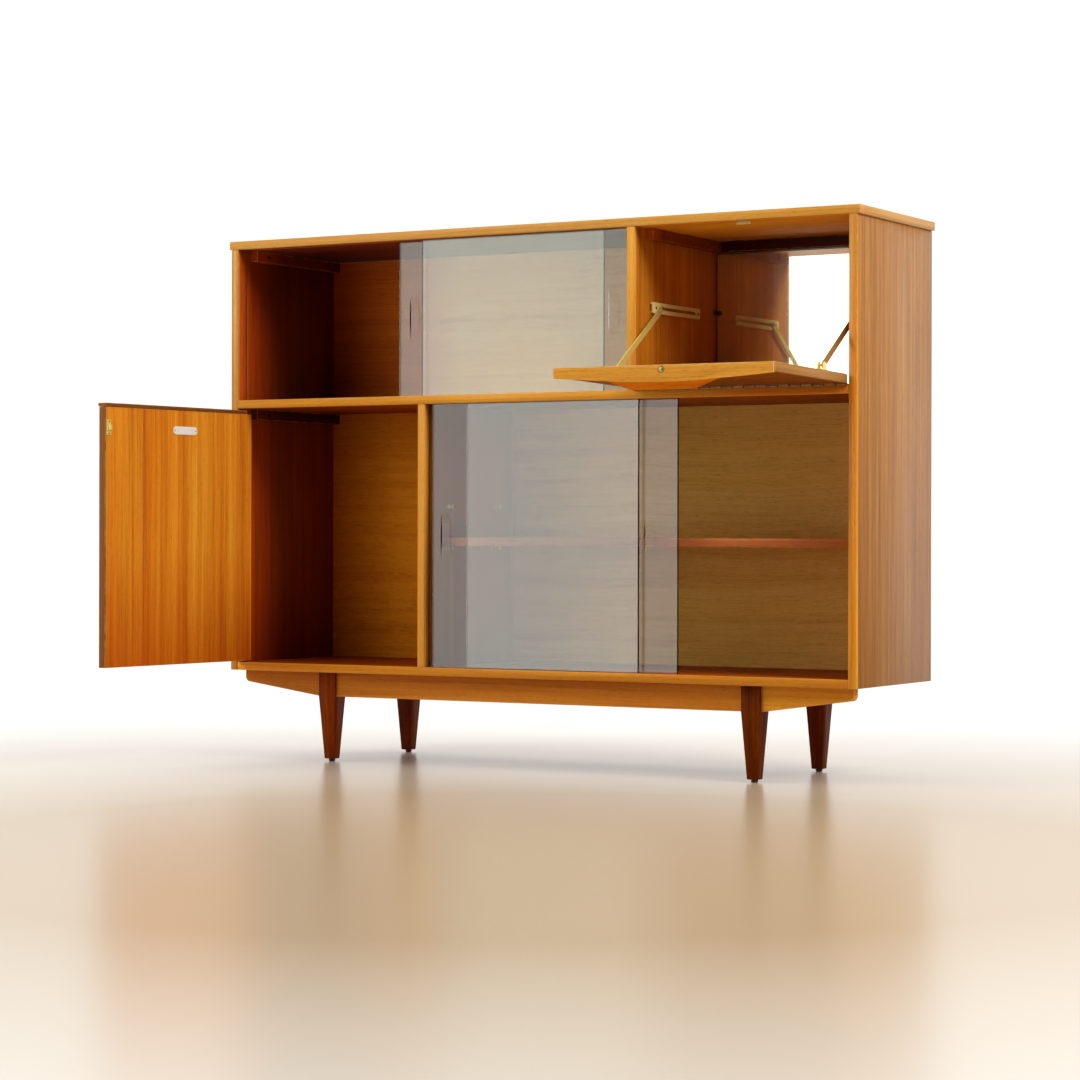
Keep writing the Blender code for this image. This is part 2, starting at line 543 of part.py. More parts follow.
def build_flap(root, teak, brass, steel):
    # The hinge line lies in front of the middle shelf's upper edge, so that the shut flap is flush.
    stand_off = KNUCKLE_RADIUS + SEAT_GAP
    hinge_line = (0, -stand_off, MIDDLE_TOP)
    fixed_axis = make_empty("flap_hinge_line", root, hinge_line)
    axis = make_empty("flap_axis", root, hinge_line, (FLAP_OPEN_ANGLE, 0, 0))
    left = UPPER_DIVIDER_RIGHT + FLAP_SIDE_GAP
    right = INNER_RIGHT - FLAP_SIDE_GAP
    leaf_foot = SEAT_GAP
    leaf_head = leaf_foot + HINGE_LEAF + SEAT_GAP
    panel_foot = leaf_head + HINGE_LEAF + SEAT_GAP
    face = stand_off
    back = face + FLAP_THICKNESS
    free_edge = TOP_UNDERSIDE - MIDDLE_TOP - FLAP_HEAD_GAP
    panel_head = free_edge - LIP_STRIP - SEAT_GAP
    panel = make_board("flap_panel", (left, face, panel_foot), (right, back, panel_head), teak, axis,
                       EDGE_SOFTENING / 2)
    lip = make_lip("flap_pull", (left, right), back, face, free_edge, teak, axis)

    ends = (UPPER_DIVIDER_RIGHT + HINGE_END_GAP, INNER_RIGHT - HINGE_END_GAP)
    pitch = (ends[1] - ends[0]) / KNUCKLE_COUNT
    spans = [(ends[0] + pitch * i + KNUCKLE_GAP / 2, pitch - KNUCKLE_GAP) for i in range(KNUCKLE_COUNT)]
    reach = stand_off + HINGE_LEAF_WIDTH
    make_leaf("flap_hinge_fixed_leaf", ((ends[0], 0, leaf_foot), (ends[1], reach, leaf_foot + HINGE_LEAF)),
              spans[::2], spans[1::2], brass, fixed_axis)
    make_leaf("flap_hinge_moving_leaf", ((ends[0], 0, leaf_head), (ends[1], reach, leaf_head + HINGE_LEAF)),
              spans[1::2], spans[::2], brass, axis)
    make_turning("flap_hinge_pin", [(HINGE_PIN_RADIUS, 0), (HINGE_PIN_RADIUS, ends[1] - ends[0])], steel,
                 fixed_axis, (ends[0], 0, 0), "X", 12)

    # Ball catch let into the free edge, and its strike under the top.
    middle = (left + right) / 2
    catch_y = face + FLAP_THICKNESS / 2
    ball = 1.1 * CATCH_RIM + STRIKE_THICKNESS / 2
    profile = ((CATCH_RADIUS, -CATCH_DEPTH), (CATCH_RADIUS, CATCH_RIM), (CATCH_RADIUS * 0.6, CATCH_RIM),
               (CATCH_RADIUS * 0.45, ball * 0.85), (CATCH_RADIUS * 0.2, ball))
    make_turning("flap_ball_catch", profile, brass, axis, (middle, catch_y, free_edge))
    room = CATCH_RADIUS + SEAT_GAP
    for solid in (lip, panel):
        cut_round(solid, solid.name + "_catch_bore", room,
                  (middle, catch_y, free_edge - CATCH_DEPTH - SEAT_GAP), 2 * CATCH_DEPTH, "Z")
    # The strike is a bent plate, and its lip hangs behind the shut flap as a stop.
    head = TOP_UNDERSIDE - SEAT_GAP
    lip_face = FLAP_THICKNESS + STRIKE_CLEARANCE
    lip_back = lip_face + STRIKE_THICKNESS
    section = ((STRIKE_INSET, head), (lip_back, head), (lip_back, head - STRIKE_DROP), (lip_face, head - STRIKE_DROP),
               (lip_face, head - STRIKE_THICKNESS), (STRIKE_INSET, head - STRIKE_THICKNESS))
    strike_left = middle - STRIKE_LENGTH / 2
    make_extrusion("flap_strike", [(strike_left, y, z) for y, z in section], (STRIKE_LENGTH, 0, 0), brass, root)
    build_stays(root, axis, hinge_line, back, brass)


def stay_pivot(angle, hinge_line, along, out):
    # Where the arm's pivot on the flap lies in Y and Z when the flap stands open by an angle.
    return (hinge_line[1] + out * math.cos(angle) - along * math.sin(angle),
            hinge_line[2] + out * math.sin(angle) + along * math.cos(angle))


def slide_place(angle, hinge_line, along, out):
    # Where along Y the arm's sliding end then lies in its channel.
    y, z = stay_pivot(angle, hinge_line, along, out)
    return y + math.sqrt(STAY_ARM_LENGTH ** 2 - (STAY_LEVEL - z) ** 2)


def build_stays(root, axis, hinge_line, flap_back, brass):
    out = flap_back + STAY_PIVOT_RISE
    open_slide = slide_place(FLAP_OPEN_ANGLE, hinge_line, STAY_PIVOT_REACH, out)
    shut_slide = slide_place(0, hinge_line, STAY_PIVOT_REACH, out)
    pivot = stay_pivot(FLAP_OPEN_ANGLE, hinge_line, STAY_PIVOT_REACH, out)
    lean = math.atan2(STAY_LEVEL - pivot[1], open_slide - pivot[0])
    slot_room = SLOT_WIDTH / 2 + SEAT_GAP
    slot = (open_slide - slot_room, shut_slide + slot_room)
    for hand, face, away in (("left", UPPER_DIVIDER_RIGHT, 1), ("right", INNER_RIGHT, -1)):
        def spread(near, far):
            return sorted((face + away * near, face + away * far))

        # Channel with a T-slot, open at its front end, screwed to the wall of the compartment.
        wall = SEAT_GAP
        lip_start = wall + CHANNEL_THICKNESS - CHANNEL_LIP
        channel_x = spread(wall, wall + CHANNEL_THICKNESS)
        ends = (slot[0] - CHANNEL_FRONT_END + CHANNEL_CORNER, slot[1] + CHANNEL_BACK_END - CHANNEL_CORNER)
        rise = CHANNEL_HEIGHT / 2 - CHANNEL_CORNER
        corners = ((ends[1], STAY_LEVEL + rise), (ends[0], STAY_LEVEL + rise),
                   (ends[0], STAY_LEVEL - rise), (ends[1], STAY_LEVEL - rise))
        outline = []
        for quarter, corner in enumerate(corners):
            outline += arc(corner, CHANNEL_CORNER, 90 * quarter, 90 * quarter + 90, 4)
        channel = make_extrusion(f"stay_channel_{hand}", [(channel_x[0], y, z) for y, z in outline],
                                 (CHANNEL_THICKNESS, 0, 0), brass, root)
        through = spread(-CHANNEL_THICKNESS, 2 * CHANNEL_THICKNESS)
        cut_board(channel, f"stay_slot_{hand}", (through[0], slot[0], STAY_LEVEL - SLOT_WIDTH / 2),
                  (through[1], slot[1], STAY_LEVEL + SLOT_WIDTH / 2))
        under = spread(-CHANNEL_THICKNESS, lip_start)
        wider = (SLOT_UNDERCUT - SLOT_WIDTH) / 2
        low = (under[0], slot[0] - 2 * CHANNEL_FRONT_END, STAY_LEVEL - SLOT_UNDERCUT / 2)
        high = (under[1], slot[1] + wider, STAY_LEVEL + SLOT_UNDERCUT / 2)
        cut_board(channel, f"stay_undercut_{hand}", low, high)

        # Slider: a head behind the lips, a neck in the slot and a boss that faces the arm.
        head_start = lip_start - SEAT_GAP - SLIDER_HEAD_THICKNESS
        boss_start = wall + CHANNEL_THICKNESS + SEAT_GAP
        boss_end = boss_start + SLIDER_BOSS_THICKNESS
        profile = ((SLIDER_HEAD_RADIUS, head_start), (SLIDER_HEAD_RADIUS, lip_start - SEAT_GAP),
                   (SLIDER_NECK_RADIUS, lip_start - SEAT_GAP), (SLIDER_NECK_RADIUS, boss_start),
                   (SLIDER_BOSS_RADIUS, boss_start), (SLIDER_BOSS_RADIUS, boss_end))
        make_turning(f"stay_slider_{hand}", [(r, away * h) for r, h in profile], brass, root,
                     (face, open_slide, STAY_LEVEL), "X")

        # Arm on the flap's pivot, leaning back to the slider; its sliding end is not pinned.
        arm_near = boss_end + SEAT_GAP
        arm_far = arm_near + STAY_ARM_THICKNESS
        radius = STAY_ARM_WIDTH / 2
        outline = arc((STAY_ARM_LENGTH, 0), radius, -90, 90, 6) + arc((0, 0), radius, 90, 270, 6)
        arm_x = spread(arm_near, arm_far)
        arm_axis = make_empty(f"stay_arm_axis_{hand}", axis, (0, out, STAY_PIVOT_REACH))
        arm_axis.rotation_euler = (lean - FLAP_OPEN_ANGLE, 0, 0)
        arm = make_extrusion(f"stay_arm_{hand}", [(arm_x[0], y, z) for y, z in outline],
                             (STAY_ARM_THICKNESS, 0, 0), brass, arm_axis)
        cut_round(arm, f"stay_arm_eye_{hand}", STAY_ARM_HOLE, (arm_x[0] - STAY_ARM_THICKNESS, 0, 0),
                  3 * STAY_ARM_THICKNESS, "X")

        # Bracket on the flap's inner face: a foot, an ear on each side of the arm and the pivot pin.
        ear_inner = arm_far + SEAT_GAP + BRACKET_SPREAD
        ear_outer = arm_near - SEAT_GAP - BRACKET_EAR
        seat = flap_back + SEAT_GAP
        half = BRACKET_LENGTH / 2
        foot_x = spread(ear_outer, ear_inner + BRACKET_EAR + BRACKET_FOOT)
        bracket = make_board(f"stay_bracket_{hand}", (foot_x[0], seat, STAY_PIVOT_REACH - half),
                             (foot_x[1], seat + BRACKET_PLATE, STAY_PIVOT_REACH + half), brass, axis)
        ear = arc((out, STAY_PIVOT_REACH), radius, -90, 90, 6)
        ear += [(seat + BRACKET_PLATE / 2, STAY_PIVOT_REACH + radius),
                (seat + BRACKET_PLATE / 2, STAY_PIVOT_REACH - radius)]
        for place, start in (("inner", ear_inner), ("outer", ear_outer)):
            ear_x = spread(start, start + BRACKET_EAR)
            shape = make_extrusion(f"stay_{place}_ear_{hand}", [(ear_x[0], y, z) for y, z in ear],
                                   (BRACKET_EAR, 0, 0), brass, axis)
            cut(bracket, shape, "UNION")
        pin_x = spread(ear_outer + BRACKET_EAR / 2, ear_inner + BRACKET_EAR / 2)
        pin_profile = [(BRACKET_PIN_RADIUS, 0), (BRACKET_PIN_RADIUS, pin_x[1] - pin_x[0])]
        pin_start = (pin_x[0], out, STAY_PIVOT_REACH)
        cut(bracket, make_turning(f"stay_pin_{hand}", pin_profile, brass, axis, pin_start, "X", 12), "UNION")


def build_mirror(root, silver, black):
    head = TOP_UNDERSIDE - BATTEN_HEIGHT - MIRROR_EDGE_GAP
    front = INNER_BACK - MIRROR_THICKNESS
    make_board("mirror", (UPPER_DIVIDER_RIGHT + MIRROR_EDGE_GAP, front, MIDDLE_TOP + SEAT_GAP),
               (INNER_RIGHT - MIRROR_EDGE_GAP, INNER_BACK, head), silver, root)
    peg_y = front - SEAT_GAP - MIRROR_PEG_RADIUS
    for hand, face, away in (("left", UPPER_DIVIDER_RIGHT, 1), ("right", INNER_RIGHT, -1)):
        start = face + away * SEAT_GAP
        profile = ((MIRROR_PEG_RADIUS, 0), (MIRROR_PEG_RADIUS, away * MIRROR_PEG_LENGTH * 0.8),
                   (MIRROR_PEG_RADIUS * 0.7, away * MIRROR_PEG_LENGTH))
        make_turning(f"mirror_peg_{hand}", profile, black, root, (start, peg_y, MIRROR_PEG_LEVEL), "X", 12)


def build_door(root, teak, brass, silver):
    # Shut, the door lies along X from its pivot; the axis empty swings it open.
    half = DOOR_THICKNESS / 2
    pivot_x = INNER_LEFT + DOOR_SIDE_GAP + DOOR_PIVOT_INSET
    axis = make_empty("door_axis", root, (pivot_x, half, 0), (0, 0, -DOOR_OPEN_ANGLE))
    hinge_edge = -DOOR_PIVOT_INSET
    free_edge = LOWER_DIVIDER_AT - DOOR_SIDE_GAP - pivot_x
    foot = BOTTOM_TOP + DOOR_FOOT_GAP
    head = MIDDLE_LEVEL - DOOR_HEAD_GAP
    panel_head = head - LIP_STRIP - SEAT_GAP
    radius = DOOR_HINGE_ROUNDING
    rounding = arc((hinge_edge + radius, -half + radius), radius, 180, 270, 5)
    outline = [*rounding, (free_edge, -half), (free_edge, half), (hinge_edge, half)]
    points = [(x, y, foot) for x, y in outline]
    panel = make_extrusion("door_panel", points, (0, 0, panel_head - foot), teak, axis)
    lip_back = half + DOOR_LIP_PROUD_INSIDE
    make_lip("door_pull", (hinge_edge + DOOR_LIP_SHORT, free_edge), lip_back, -half, head, teak, axis)

    # Pivot pins let into the door and into the boards above and below it; the lower one has a collar.
    fit = PIVOT_PIN_RADIUS + PIVOT_PIN_FIT
    depth = PIVOT_PIN_DEPTH
    collar = (PIVOT_COLLAR_RADIUS, BOTTOM_TOP + SEAT_GAP, foot - SEAT_GAP)
    lower = ((PIVOT_PIN_RADIUS, BOTTOM_TOP - depth), (PIVOT_PIN_RADIUS, collar[1]), (collar[0], collar[1]),
             (collar[0], collar[2]), (PIVOT_PIN_RADIUS, collar[2]), (PIVOT_PIN_RADIUS, foot + depth))
    make_turning("door_pivot_lower", lower, brass, axis)
    upper = ((PIVOT_PIN_RADIUS, panel_head - depth), (PIVOT_PIN_RADIUS, MIDDLE_LEVEL + depth))
    make_turning("door_pivot_upper", upper, brass, axis)
    room = depth + SEAT_GAP
    for solid, name, level in ((panel, "door_lower_socket", foot), (panel, "door_upper_socket", panel_head)):
        cut_round(solid, name, fit, (0, 0, level - room), 2 * room, "Z")
    for board, level in (("bottom_panel", BOTTOM_TOP), ("middle_shelf", MIDDLE_LEVEL)):
        cut_round(bpy.data.objects[board], board + "_door_socket", fit, (pivot_x, half, level - room),
                  2 * room, "Z")

    # Cupboard catch on the inner face, its strike on the divider, and a bare oval plate.
    level = head - DOOR_CATCH_DROP
    seat = half + SEAT_GAP
    outer = free_edge - DOOR_CATCH_EDGE
    catch = make_board("door_catch", (outer - DOOR_CATCH_WIDTH, seat, level - DOOR_CATCH_HEIGHT / 2),
                       (outer, seat + DOOR_CATCH_PLATE, level + DOOR_CATCH_HEIGHT / 2), brass, axis)
    third = DOOR_CATCH_HEIGHT / 6
    low = (outer - DOOR_CATCH_WIDTH * 0.8, seat + DOOR_CATCH_PLATE / 2, level - third)
    high = (outer - DOOR_CATCH_WIDTH * 0.3, seat + DOOR_CATCH_NOSE, level + third)
    cut(catch, make_board("door_catch_nose", low, high, brass, axis), "UNION")
    strike_y = DOOR_THICKNESS + DOOR_CATCH_NOSE
    strike_x = LOWER_DIVIDER_AT - SEAT_GAP
    make_board("door_strike", (strike_x - DOOR_STRIKE_THICKNESS, strike_y, level - DOOR_STRIKE_HEIGHT / 2),
               (strike_x, strike_y + DOOR_STRIKE_WIDTH, level + DOOR_STRIKE_HEIGHT / 2), brass, root)
    centre = (hinge_edge + DOOR_PLATE_FROM_HINGE, head - DOOR_PLATE_DROP)
    radius = DOOR_PLATE_HEIGHT / 2
    reach = DOOR_PLATE_LENGTH / 2 - radius
    outline = arc((centre[0] + reach, centre[1]), radius, -90, 90, 8)
    outline += arc((centre[0] - reach, centre[1]), radius, 90, 270, 8)
    points = [(x, seat, z) for x, z in outline]
    make_extrusion("door_plate", points, (0, DOOR_PLATE_THICKNESS, 0), silver, axis)


def settle_origin(root):
    # Moves the root so that the origin is the middle of the whole part's footprint, on the floor.
    bpy.context.view_layer.update()
    low = Vector((math.inf, math.inf, math.inf))
    high = -low
    for obj in bpy.data.objects:
        if obj.type != "MESH" or obj.hide_render:
            continue
        for vertex in obj.data.vertices:
            place = obj.matrix_world @ vertex.co
            low = Vector(map(min, low, place))
            high = Vector(map(max, high, place))
    root.location = (-(low.x + high.x) / 2, -(low.y + high.y) / 2, -low.z)
    bpy.context.view_layer.update()


def main():
    for obj in list(bpy.data.objects):
        bpy.data.objects.remove(obj, do_unlink=True)
    teak = make_material("teak", (0.46, 0.20, 0.055), 0.42)
    back_mat = make_material("back_veneer", (0.36, 0.19, 0.07), 0.6)
    dark = make_material("dark_leg_wood", (0.085, 0.03, 0.014), 0.38)
    brass = make_material("brass", (0.72, 0.55, 0.25), 0.3, 1.0)
    steel = make_material("steel", (0.6, 0.58, 0.55), 0.3, 1.0)
    glass = make_material("glass", (0.62, 0.64, 0.62), 0.05)
    silver = make_material("silvered_glass", (0.85, 0.86, 0.86), 0.03, 1.0)
    ivory = make_material("ivory_plastic", (0.8, 0.72, 0.5), 0.45)
    black = make_material("black_rubber", (0.03, 0.025, 0.025), 0.6)
    root = make_empty("cabinet")
    build_case(root, teak, back_mat)
    build_battens(root, teak)
    build_leg_frame(root, teak, dark, brass)
    build_glass(root, glass)
    build_loose_shelf(root, teak, ivory)
    build_flap(root, teak, brass, steel)
    build_mirror(root, silver, black)
    build_door(root, teak, brass, silver)
    settle_origin(root)


main()
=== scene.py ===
import json
import math

import bmesh
import bpy
from mathutils import Euler, Matrix, Quaternion, Vector

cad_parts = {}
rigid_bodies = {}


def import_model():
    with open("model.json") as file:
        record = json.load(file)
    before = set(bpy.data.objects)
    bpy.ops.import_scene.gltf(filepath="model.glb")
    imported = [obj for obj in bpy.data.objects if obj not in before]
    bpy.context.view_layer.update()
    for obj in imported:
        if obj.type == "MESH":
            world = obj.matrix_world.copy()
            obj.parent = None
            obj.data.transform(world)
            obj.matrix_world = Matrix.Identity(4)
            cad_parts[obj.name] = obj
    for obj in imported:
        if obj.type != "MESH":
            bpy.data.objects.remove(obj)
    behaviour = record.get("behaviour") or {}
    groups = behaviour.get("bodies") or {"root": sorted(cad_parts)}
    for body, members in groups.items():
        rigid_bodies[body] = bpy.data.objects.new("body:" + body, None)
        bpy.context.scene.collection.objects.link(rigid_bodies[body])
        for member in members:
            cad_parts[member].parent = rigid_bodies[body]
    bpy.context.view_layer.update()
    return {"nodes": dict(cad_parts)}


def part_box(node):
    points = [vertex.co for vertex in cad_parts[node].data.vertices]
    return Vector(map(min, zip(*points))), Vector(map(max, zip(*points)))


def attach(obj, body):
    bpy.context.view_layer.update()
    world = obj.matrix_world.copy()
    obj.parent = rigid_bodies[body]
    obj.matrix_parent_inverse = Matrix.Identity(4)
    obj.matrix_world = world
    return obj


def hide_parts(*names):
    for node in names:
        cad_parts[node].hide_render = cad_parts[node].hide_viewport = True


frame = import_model()
nodes = frame["nodes"]
bodyOf = {name: node.parent.name.split(":")[-1] for name, node in nodes.items()}
print("frame loaded:", len(nodes), "nodes")

# Small helpers for shader trees


def put(tree, kind, feeds=None, **settings):
    made = tree.nodes.new("ShaderNode" + kind)
    for key, value in settings.items():
        setattr(made, key, value)
    for key, value in (feeds or {}).items():
        if isinstance(value, bpy.types.NodeSocket):
            tree.links.new(value, made.inputs[key])
        else:
            made.inputs[key].default_value = value
    return made


def calc(tree, operation, first, second=0.0, third=0.0):
    return put(tree, "Math", {0: first, 1: second, 2: third}, operation=operation).outputs[0]


def vecCalc(tree, operation, first, second):
    return put(tree, "VectorMath", {0: first, 1: second}, operation=operation).outputs[0]


def blendColours(tree, amount, under, over, kind="MIX"):
    return put(tree, "Mix", {0: amount, 6: under, 7: over}, data_type="RGBA", blend_type=kind).outputs[2]


def remap(tree, value, low, high, newLow=0.0, newHigh=1.0):
    return put(tree, "MapRange", {0: value, 1: low, 2: high, 3: newLow, 4: newHigh}).outputs[0]


def stretchedNoise(tree, vector, across, along, detail=2.0, roughness=0.5):
    stretch = put(tree, "CombineXYZ", {0: across, 1: across, 2: along}).outputs[0]
    scaled = vecCalc(tree, "MULTIPLY", vector, stretch)
    noise = put(tree, "TexNoise", {"Vector": scaled, "Scale": 1.0, "Detail": detail, "Roughness": roughness})
    return noise.outputs[0]


def newGroup(name, inputs, outputs):
    tree = bpy.data.node_groups.new(name, "ShaderNodeTree")
    for label, value in inputs.items():
        kind = "NodeSocketVector" if isinstance(value, tuple) else "NodeSocketFloat"
        tree.interface.new_socket(label, in_out="INPUT", socket_type=kind).default_value = value
    for label in outputs:
        tree.interface.new_socket(label, in_out="OUTPUT", socket_type="NodeSocketFloat")
    ends = tree.nodes.new("NodeGroupInput"), tree.nodes.new("NodeGroupOutput")
    return tree, ends[0].outputs, ends[1].inputs


def colour(triple):
    return (triple[0], triple[1], triple[2], 1.0)


def startMaterial(name):
    material = bpy.data.materials.new(name)
    material.use_nodes = True
    tree = material.node_tree
    here = put(tree, "TexCoord").outputs["Object"]
    return material, tree, tree.nodes["Principled BSDF"], here


# Effects that several finishes share


grainScales = {  # waves in a metre across the grain and along it, then detail and its roughness
    "broad": (26.0, 0.45),
    "middle": (95.0, 1.3),
    "narrow": (330.0, 3.5),
    "red": (17.0, 0.8),
    "fibre": (900.0, 13.0, 3.0, 0.6),
    "pore": (1250.0, 75.0, 1.0),
}
ribbonShares = {"broad": 0.40, "middle": 0.30, "narrow": 0.20, "leaf": 0.10}


def makeWoodFigure():
    # grain runs along the pattern's Z: broad ribbons with finer ones in them, fibres,
    # short open pores and leaves of veneer
    tree, given, out = newGroup(
        "woodFigure",
        {"Vector": (0.0, 0.0, 0.0), "Seed": 0.0, "Ribbon": 1.0, "Wander": 0.01, "Leaf": 0.11},
        ["Ribbon", "Fibre", "Pore", "Red"],
    )
    aside = calc(tree, "MULTIPLY", given["Seed"], 1.7)
    shift = put(tree, "CombineXYZ", {0: given["Seed"], 1: aside}).outputs[0]
    place = vecCalc(tree, "ADD", given["Vector"], shift)
    wander = put(tree, "TexNoise", {"Vector": place, "Scale": 2.6, "Detail": 2.0}).outputs[1]
    wander = vecCalc(tree, "SUBTRACT", wander, (0.5, 0.5, 0.5))
    wander = put(tree, "VectorMath", {0: wander, "Scale": given["Wander"]}, operation="SCALE").outputs[0]
    place = vecCalc(tree, "ADD", place, wander)
    wide = put(tree, "VectorMath", {0: place, "Scale": given["Ribbon"]}, operation="SCALE").outputs[0]
    across = put(tree, "SeparateXYZ", {0: given["Vector"]}).outputs
    leaf = calc(tree, "DIVIDE", calc(tree, "ADD", across[0], across[1]), given["Leaf"])
    leaf = calc(tree, "FLOOR", calc(tree, "ADD", leaf, given["Seed"]))
    leaf = put(tree, "TexWhiteNoise", {"W": leaf}, noise_dimensions="1D").outputs["Value"]
    ribbon = 0.0
    for band in ("middle", "broad", "narrow"):
        wave = remap(tree, stretchedNoise(tree, wide, *grainScales[band]), 0.3, 0.7)
        ribbon = calc(tree, "MULTIPLY_ADD", wave, ribbonShares[band], ribbon)
    tree.links.new(calc(tree, "MULTIPLY_ADD", leaf, ribbonShares["leaf"], ribbon), out["Ribbon"])
    fibre = stretchedNoise(tree, place, *grainScales["fibre"])
    tree.links.new(remap(tree, fibre, 0.3, 0.7), out["Fibre"])
    pore = stretchedNoise(tree, place, *grainScales["pore"])
    tree.links.new(remap(tree, pore, 0.60, 0.68), out["Pore"])
    red = stretchedNoise(tree, wide, *grainScales["red"])
    tree.links.new(remap(tree, red, 0.35, 0.68), out["Red"])
    return tree


def makeEdgeWearAndHighlight():
    # distance to a board's nearest long edge, from the board's own box, broken up by noise
    tree, given, out = newGroup(
        "edgeWear",
        {"Vector": (0.0, 0.0, 0.0), "Centre": (0.0, 0.0, 0.0), "Half": (1.0, 1.0, 1.0), "Width": 0.002},
        ["Wear"],
    )
    away = vecCalc(tree, "SUBTRACT", given["Vector"], given["Centre"])
    away = put(tree, "VectorMath", {0: away}, operation="ABSOLUTE").outputs[0]
    depth = put(tree, "SeparateXYZ", {0: vecCalc(tree, "SUBTRACT", given["Half"], away)}).outputs
    low = calc(tree, "MINIMUM", depth[0], depth[1])
    high = calc(tree, "MAXIMUM", depth[0], depth[1])
    second = calc(tree, "MAXIMUM", low, calc(tree, "MINIMUM", high, depth[2]))
    patch = put(tree, "TexNoise", {"Vector": given["Vector"], "Scale": 70.0, "Detail": 4.0}).outputs[0]
    reach = calc(tree, "MULTIPLY", given["Width"], remap(tree, patch, 0.35, 0.75, 0.15, 1.6))
    tree.links.new(remap(tree, calc(tree, "DIVIDE", second, reach), 1.0, 0.2), out["Wear"])
    return tree


def makeHandling():
    # slow cloudiness of an old polish, and dust specks
    tree, given, out = newGroup("handling", {"Vector": (0.0, 0.0, 0.0), "Size": 6.0}, ["Cloud", "Speck"])
    cloud = put(tree, "TexNoise", {"Vector": given["Vector"], "Scale": given["Size"], "Detail": 3.0})
    tree.links.new(remap(tree, cloud.outputs[0], 0.3, 0.7), out["Cloud"])
    speck = put(tree, "TexNoise", {"Vector": given["Vector"], "Scale": 520.0, "Detail": 1.0})
    tree.links.new(remap(tree, speck.outputs[0], 0.7, 0.76), out["Speck"])
    return tree


def makeMetalAge():
    # fine rubbing marks and soft tarnish on small fittings
    tree, given, out = newGroup("metalAge", {"Vector": (0.0, 0.0, 0.0), "Size": 120.0}, ["Tarnish", "Rub"])
    tarnish = put(tree, "TexNoise", {"Vector": given["Vector"], "Scale": given["Size"], "Detail": 4.0})
    tree.links.new(remap(tree, tarnish.outputs[0], 0.4, 0.75), out["Tarnish"])
    rub = stretchedNoise(tree, given["Vector"], 2400.0, 160.0, 2.0)
    tree.links.new(remap(tree, rub, 0.35, 0.65), out["Rub"])
    return tree


woodFigure = makeWoodFigure()
edgeWear = makeEdgeWearAndHighlight()
handling = makeHandling()
metalAge = makeMetalAge()
print("shared effects built")

# Finishes

grainTurns = {
    "up": (0.0, 0.0, 0.0),
    "across": (0.0, -math.pi / 2, 0.0),  # grain along X
    "deep": (math.pi / 2, 0.0, 0.0),  # grain along Y
}

plain = (1.0, 1.0, 1.0)
teakVeneer = {
    "dark": (0.45, 0.096, 0.004),
    "middle": (0.69, 0.235, 0.012),
    "light": (0.86, 0.385, 0.032),
    "red": (0.93, 0.62, 0.30),
    "ribbon": 1.0,
    "wander": 0.010,
    "leaf": 0.118,
    "fibre": 0.16,
    "pore": 0.42,
    "worn": (0.66, 0.32, 0.10),
    "wear": 0.0018,
    "roughness": 0.48,
    "gloss": 0.12,
    "fades": (),  # each an axis, from, to, tint there and tint here: painted light and shade along the board
    "stain": None,  # fitting round which the wood is painted dark in a ring, and how far: painted shade
}
# door painted darker and redder towards its foot: painted shade
doorVeneer = dict(teakVeneer, fades=((2, 0.18, 0.38, (0.80, 0.54, 0.25), (1.06, 1.10, 1.20)),))
topVeneer = dict(
    teakVeneer, dark=(0.28, 0.082, 0.006), middle=(0.42, 0.145, 0.012), light=(0.54, 0.215, 0.026),
    gloss=0.3,
)
# dark copy for the outer faces of flap and door, the open flap's underside being in shadow: painted shade
shadedOuterVeneer = dict(
    teakVeneer, dark=(0.17, 0.044, 0.003), middle=(0.26, 0.072, 0.005), light=(0.34, 0.106, 0.010),
    ribbon=1.4, gloss=0.2,
)
# outer sides, painted a little darker low down: painted shade
sideVeneer = dict(
    teakVeneer, dark=(0.22, 0.080, 0.009), middle=(0.34, 0.135, 0.017), light=(0.46, 0.205, 0.034),
    red=(0.96, 0.84, 0.66), ribbon=4.2, leaf=0.4, roughness=0.36, gloss=0.32,
    fades=((2, 0.16, 0.85, (0.92, 0.89, 0.80), plain),),
)
# inside faces, painted darker at the front and lighter towards the back: painted light
insideVeneer = dict(
    teakVeneer, dark=(0.40, 0.108, 0.005), middle=(0.56, 0.202, 0.012), light=(0.67, 0.285, 0.024),
    ribbon=1.5, red=(0.95, 0.74, 0.45), roughness=0.42, gloss=0.08,
    fades=((1, 0.03, 0.20, (0.85, 0.85, 0.85), (1.25, 1.25, 1.25)),),
)
# calmer copy, with the same painted light from front to back
calmVeneer = dict(
    insideVeneer, dark=(0.49, 0.165, 0.008), middle=(0.55, 0.200, 0.012), light=(0.61, 0.238, 0.018),
)
# much lighter copy for the top's underside: painted light
litCeilingVeneer = dict(
    insideVeneer, dark=(0.66, 0.290, 0.014), middle=(0.84, 0.450, 0.028), light=(0.92, 0.550, 0.050),
    fades=(),
)
# dark copy for faces in shade, painted lighter at the front: painted shade and painted light
shadeVeneer = dict(
    insideVeneer, dark=(0.19, 0.022, 0.001), middle=(0.28, 0.036, 0.002), light=(0.36, 0.058, 0.003),
    fades=((1, 0.03, 0.15, (2.0, 2.0, 1.4), (0.55, 0.50, 0.50)),),
)
# darker copy for the floors of the bays: painted shade
shadedFloorVeneer = dict(
    insideVeneer, dark=(0.24, 0.036, 0.0015), middle=(0.34, 0.062, 0.003), light=(0.43, 0.098, 0.006),
    fades=(), gloss=0.05,
)
# the top's underside left of the drinks bay, painted dark and darker towards the back: painted shade
shadedCeilingVeneer = dict(shadeVeneer, fades=((1, 0.03, 0.15, plain, (0.45, 0.35, 0.35)),))
